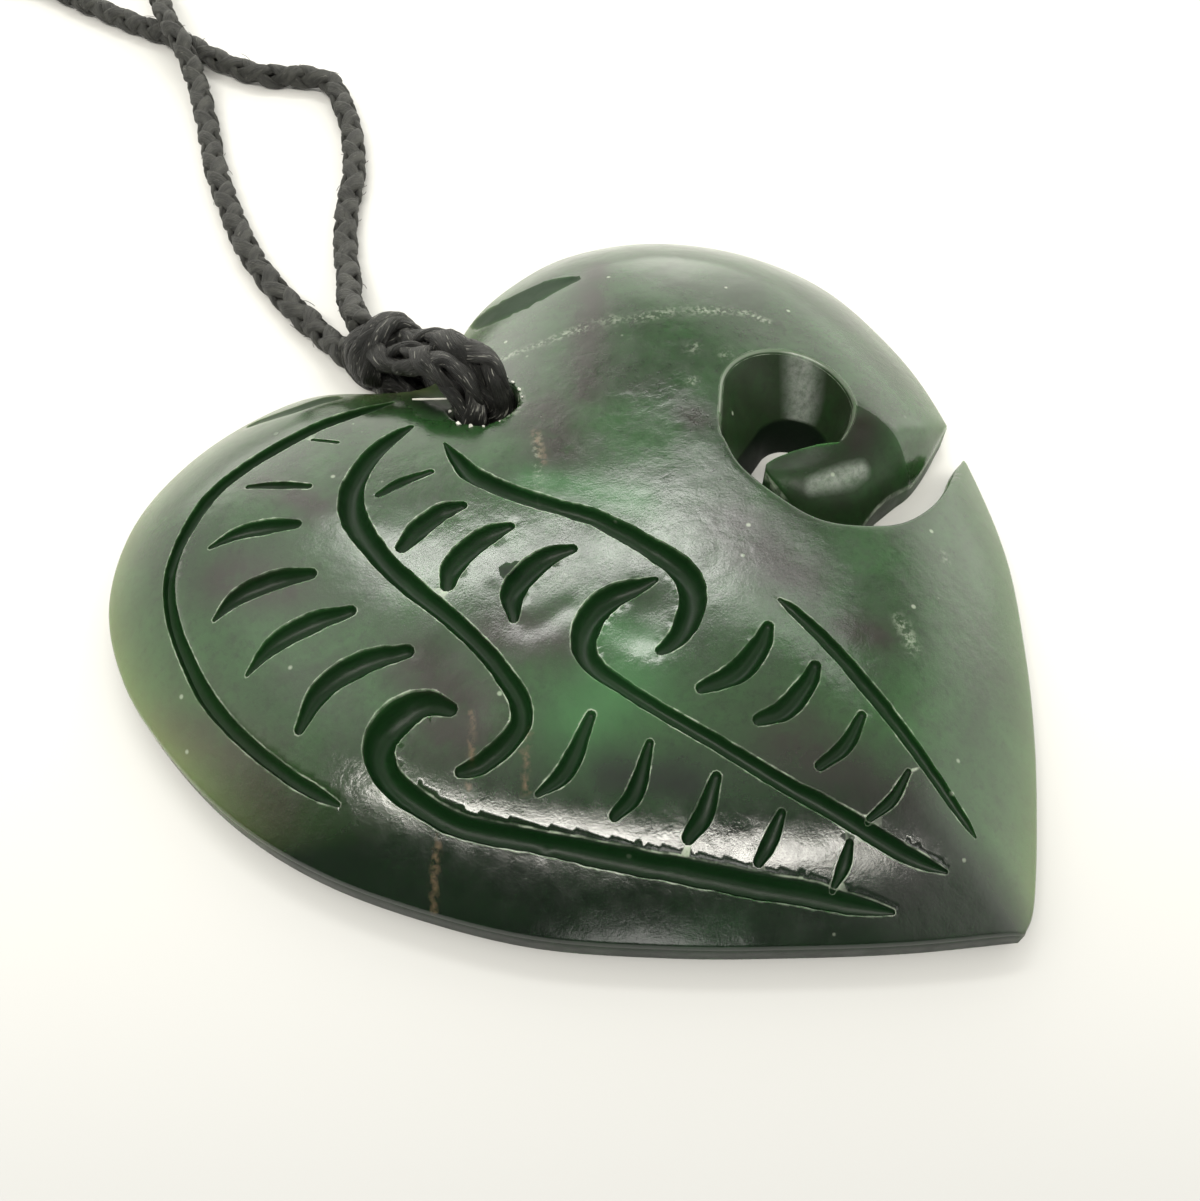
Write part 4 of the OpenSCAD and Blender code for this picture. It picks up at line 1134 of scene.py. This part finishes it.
# Polished nephrite: a dense, faintly see-through green stone. Clouds of deeper green and grey violet
# lie under a waxy polish, light soaks a little way in, a painted glow turns thin edges yellow green and
# brightens some patches, and the polish shows soft hazy reflections with a slight orange peel. Cuts are
# darker with painted shade, their edges worn pale and in part a painted highlight. Painted shade also
# darkens the bowl, bore and cord channel, the bed under the cord, the tongue, the near left side and the
# edge walls, and painted highlights lie on the bowl's wall and the tongue.
def nephriteMaterial(name, finish):
    look = stoneLook
    roughness, specular, soaked = look[finish]
    material, tree = newMaterial(name)
    place = addNode(tree, "TexCoord", output="Object")
    signals = {}
    for attribute, parts in (("stoneCutsRimsAndGlow", ("cut", "rim", "edgeGlow")),
                             ("stoneCloudsShadeAndGlow", ("violet", "deep", "glow")),
                             ("stoneMarksAndPaintedLight", ("streak", "vein", "scuffAndHighlight"))):
        vector = addNode(tree, "Attribute", output="Vector", attribute_name=attribute)
        signals.update(zip(parts, addNode(tree, "SeparateXYZ", {"Vector": vector}).node.outputs))
    for pattern, (sizeMm, detail, rough, warp) in look["patterns"].items():
        signals[pattern] = addNode(tree, "TexNoise", {"Vector": place, "Scale": 1 / (sizeMm * mm),
                                                      "Detail": detail, "Roughness": rough,
                                                      "Distortion": warp})
    grains = addNode(tree, "TexVoronoi", {"Vector": place, "Scale": 1 / (look["grainMm"] * mm)}).node
    signals["grainReach"] = grains.outputs["Distance"]
    signals["grainPick"] = addNode(tree, "SeparateXYZ", {"Vector": grains.outputs["Color"]})
    signals["x"] = addNode(tree, "SeparateXYZ", {"Vector": place})

    def shareOf(ranges):
        # the ranges multiplied together
        total = None
        for signal, start, end, first, last in ranges:
            share = addNode(tree, "MapRange", {"Value": signals[signal], "From Min": start, "From Max": end,
                                               "To Min": first, "To Max": last})
            if total is not None:
                share = addNode(tree, "Math", {0: total, 1: share}, operation="MULTIPLY")
            total = share
        return total

    side = shareOf([("x", look["rimSpan"][0] * mm, look["rimSpan"][1] * mm, 0, 1)])
    tints = dict(look, rim=addNode(tree, "Mix", {0: side, 6: look["leftRim"], 7: look["rightRim"]}, 2,
                                   data_type="RGBA"))
    colour = look["body"]
    for tint, ranges, *others in look["layers"]:
        share = shareOf(ranges)
        for other in others:
            share = addNode(tree, "Math", {0: share, 1: shareOf(other)}, operation="MAXIMUM")
        colour = addNode(tree, "Mix", {0: share, 6: colour, 7: tints[tint]}, 2, data_type="RGBA")
    # the last share is that of the pale edges, worn and in part a painted highlight, which are rougher, and
    # so are the scuffs with their painted highlight
    dull = addNode(tree, "Math", {0: share, 1: signals["scuffAndHighlight"]}, operation="MAXIMUM")
    polish = shareOf([("mottle", 0.3, 0.7, roughness - 0.04, roughness + 0.06)])
    rough = addNode(tree, "Math", {0: dull, 1: 0.25, 2: polish}, operation="MULTIPLY_ADD")
    normal = None
    for ranges, depthMm in look["bumps"]:
        bump = {"Strength": 1.0, "Distance": depthMm * mm, "Height": shareOf(ranges)}
        normal = addNode(tree, "Bump", dict(bump, Normal=normal) if normal is not None else bump)
    shader = addNode(tree, "BsdfPrincipled", {
        "Base Color": colour, "Roughness": rough, "Normal": normal, "IOR": look["ior"],
        "Specular IOR Level": specular, "Subsurface Weight": soaked,
        "Subsurface Radius": (0.6, 1.5, 0.6), "Subsurface Scale": 1 * mm})
    addNode(tree, "OutputMaterial", {"Surface": shader})
    return material


def waxMaterial():
    # dried wax: chalky white crumbs, which catch the eye beside the cord
    material, tree = newMaterial("dried_wax")
    shader = addNode(tree, "BsdfPrincipled", {"Base Color": "#cfd0c8", "Roughness": 0.6})
    addNode(tree, "OutputMaterial", {"Surface": shader})
    return material


stone = buildStone(nephriteMaterial("polished_nephrite", "polished"))
stone.data.materials.append(nephriteMaterial("nephrite_as_cut", "asCut"))  # duller, with a deeper green
stone.data.materials.append(waxMaterial())
stone.data.materials.append(nephriteMaterial("nephrite_matt", "matt"))  # bore, hollows and bed of the cord
stone.data.set_sharp_from_angle(angle=math.radians(54))
markStone(stone)
print("stone carved and marked")

# Floor: a plain pale board, with painted shade making it a little greyer towards the near side.
floorValues = {
    "colour": "#d9d9d7", "near": "#9b9c9e", "size": 3.0, "roughness": 0.6,
    "towards": (-0.65, -0.76, 0), "greyFrom": -0.01, "greyTo": 0.055,  # way and distances of the painted shade's grey
}


def addFloor():
    values = floorValues
    bm = bmesh.new()
    bmesh.ops.create_grid(bm, x_segments=1, y_segments=1, size=values["size"] / 2)
    material, tree = newMaterial("painted_board")  # matt paint: a pale ground with soft shadows, and painted shade greyer towards the near side
    place = addNode(tree, "TexCoord", output="Object")
    near = addNode(tree, "VectorMath", {0: place, 1: values["towards"]}, "Value", operation="DOT_PRODUCT")
    share = addNode(tree, "MapRange", {"Value": near, "From Min": values["greyFrom"],
                                       "From Max": values["greyTo"]})
    colour = addNode(tree, "Mix", {0: share, 6: values["colour"], 7: values["near"]}, 2, data_type="RGBA")
    shader = addNode(tree, "BsdfPrincipled", {"Base Color": colour, "Roughness": values["roughness"]})
    addNode(tree, "OutputMaterial", {"Surface": shader})
    newObject("floor", bm, material)


addFloor()

# Light: a wide low window behind on the right with a curtained part, a long ceiling lamp on the near
# side, a small bright doorway behind the camera, and a pale room that is dark on the camera's side.
lightValues = {
    # place, width and height in metres, radiance and colour
    "areas": {
        "window": ((0.269, 0.431, 0.698), 0.4, 0.1, 12, "#fffefa"),
        "curtain": ((0.467, 0.208, 0.692), 0.34, 0.12, 3.4, "#fffefa"),
        "lamp": ((-0.305, -0.206, 0.595), 0.6, 0.07, 31, "#fffbf2"),
        "doorway": ((-0.43, -0.48, 0.29), 0.12, 0.18, 4, "#fffdf8"),
    },
    "air": "#fbf9f0",
    "base": 0.1,
    # direction, the cosines where it starts and is full, and the radiance of each pale wall
    "walls": [((0.85, 0.30, 0.12), 0.78, 0.92, 1.9), ((0.38, 0.85, 0.15), 0.82, 0.95, 1.85),
              ((-0.35, 0.80, 0.45), 0.55, 0.9, 1.3), ((0.05, 0.30, 0.95), 0.75, 0.97, 0.7),
              ((0.55, -0.72, 0.35), 0.5, 0.95, 1.8)],
}


def addLights():
    for name, (place, width, height, radiance, colour) in lightValues["areas"].items():
        data = bpy.data.lights.new(name, "AREA")
        data.shape = "RECTANGLE"
        data.size, data.size_y = width, height
        data.energy = radiance * math.pi * width * height
        data.color = toLinear(colour)[:3]
        light = bpy.data.objects.new(name, data)
        light.location = place
        light.rotation_euler = (-Vector(place)).to_track_quat("-Z", "Y").to_euler()
        scene.collection.objects.link(light)
    scene.world = bpy.data.worlds.new("room")
    scene.world.use_nodes = True
    tree = scene.world.node_tree
    tree.nodes.clear()
    way = addNode(tree, "TexCoord", output="Generated")
    total = lightValues["base"]
    for direction, start, full, radiance in lightValues["walls"]:
        direction = Vector(direction).normalized()
        facing = addNode(tree, "VectorMath", {0: way, 1: direction}, "Value", operation="DOT_PRODUCT")
        wall = addNode(tree, "MapRange", {"Value": facing, "From Min": start, "From Max": full,
                                          "To Max": radiance}, interpolation_type="SMOOTHSTEP")
        total = addNode(tree, "Math", {0: wall, 1: total}, operation="ADD")
    light = addNode(tree, "Background", {"Color": lightValues["air"], "Strength": total})
    addNode(tree, "OutputWorld", {"Surface": light})


addLights()
scene.view_settings.view_transform = "Standard"
print("floor and lights set")
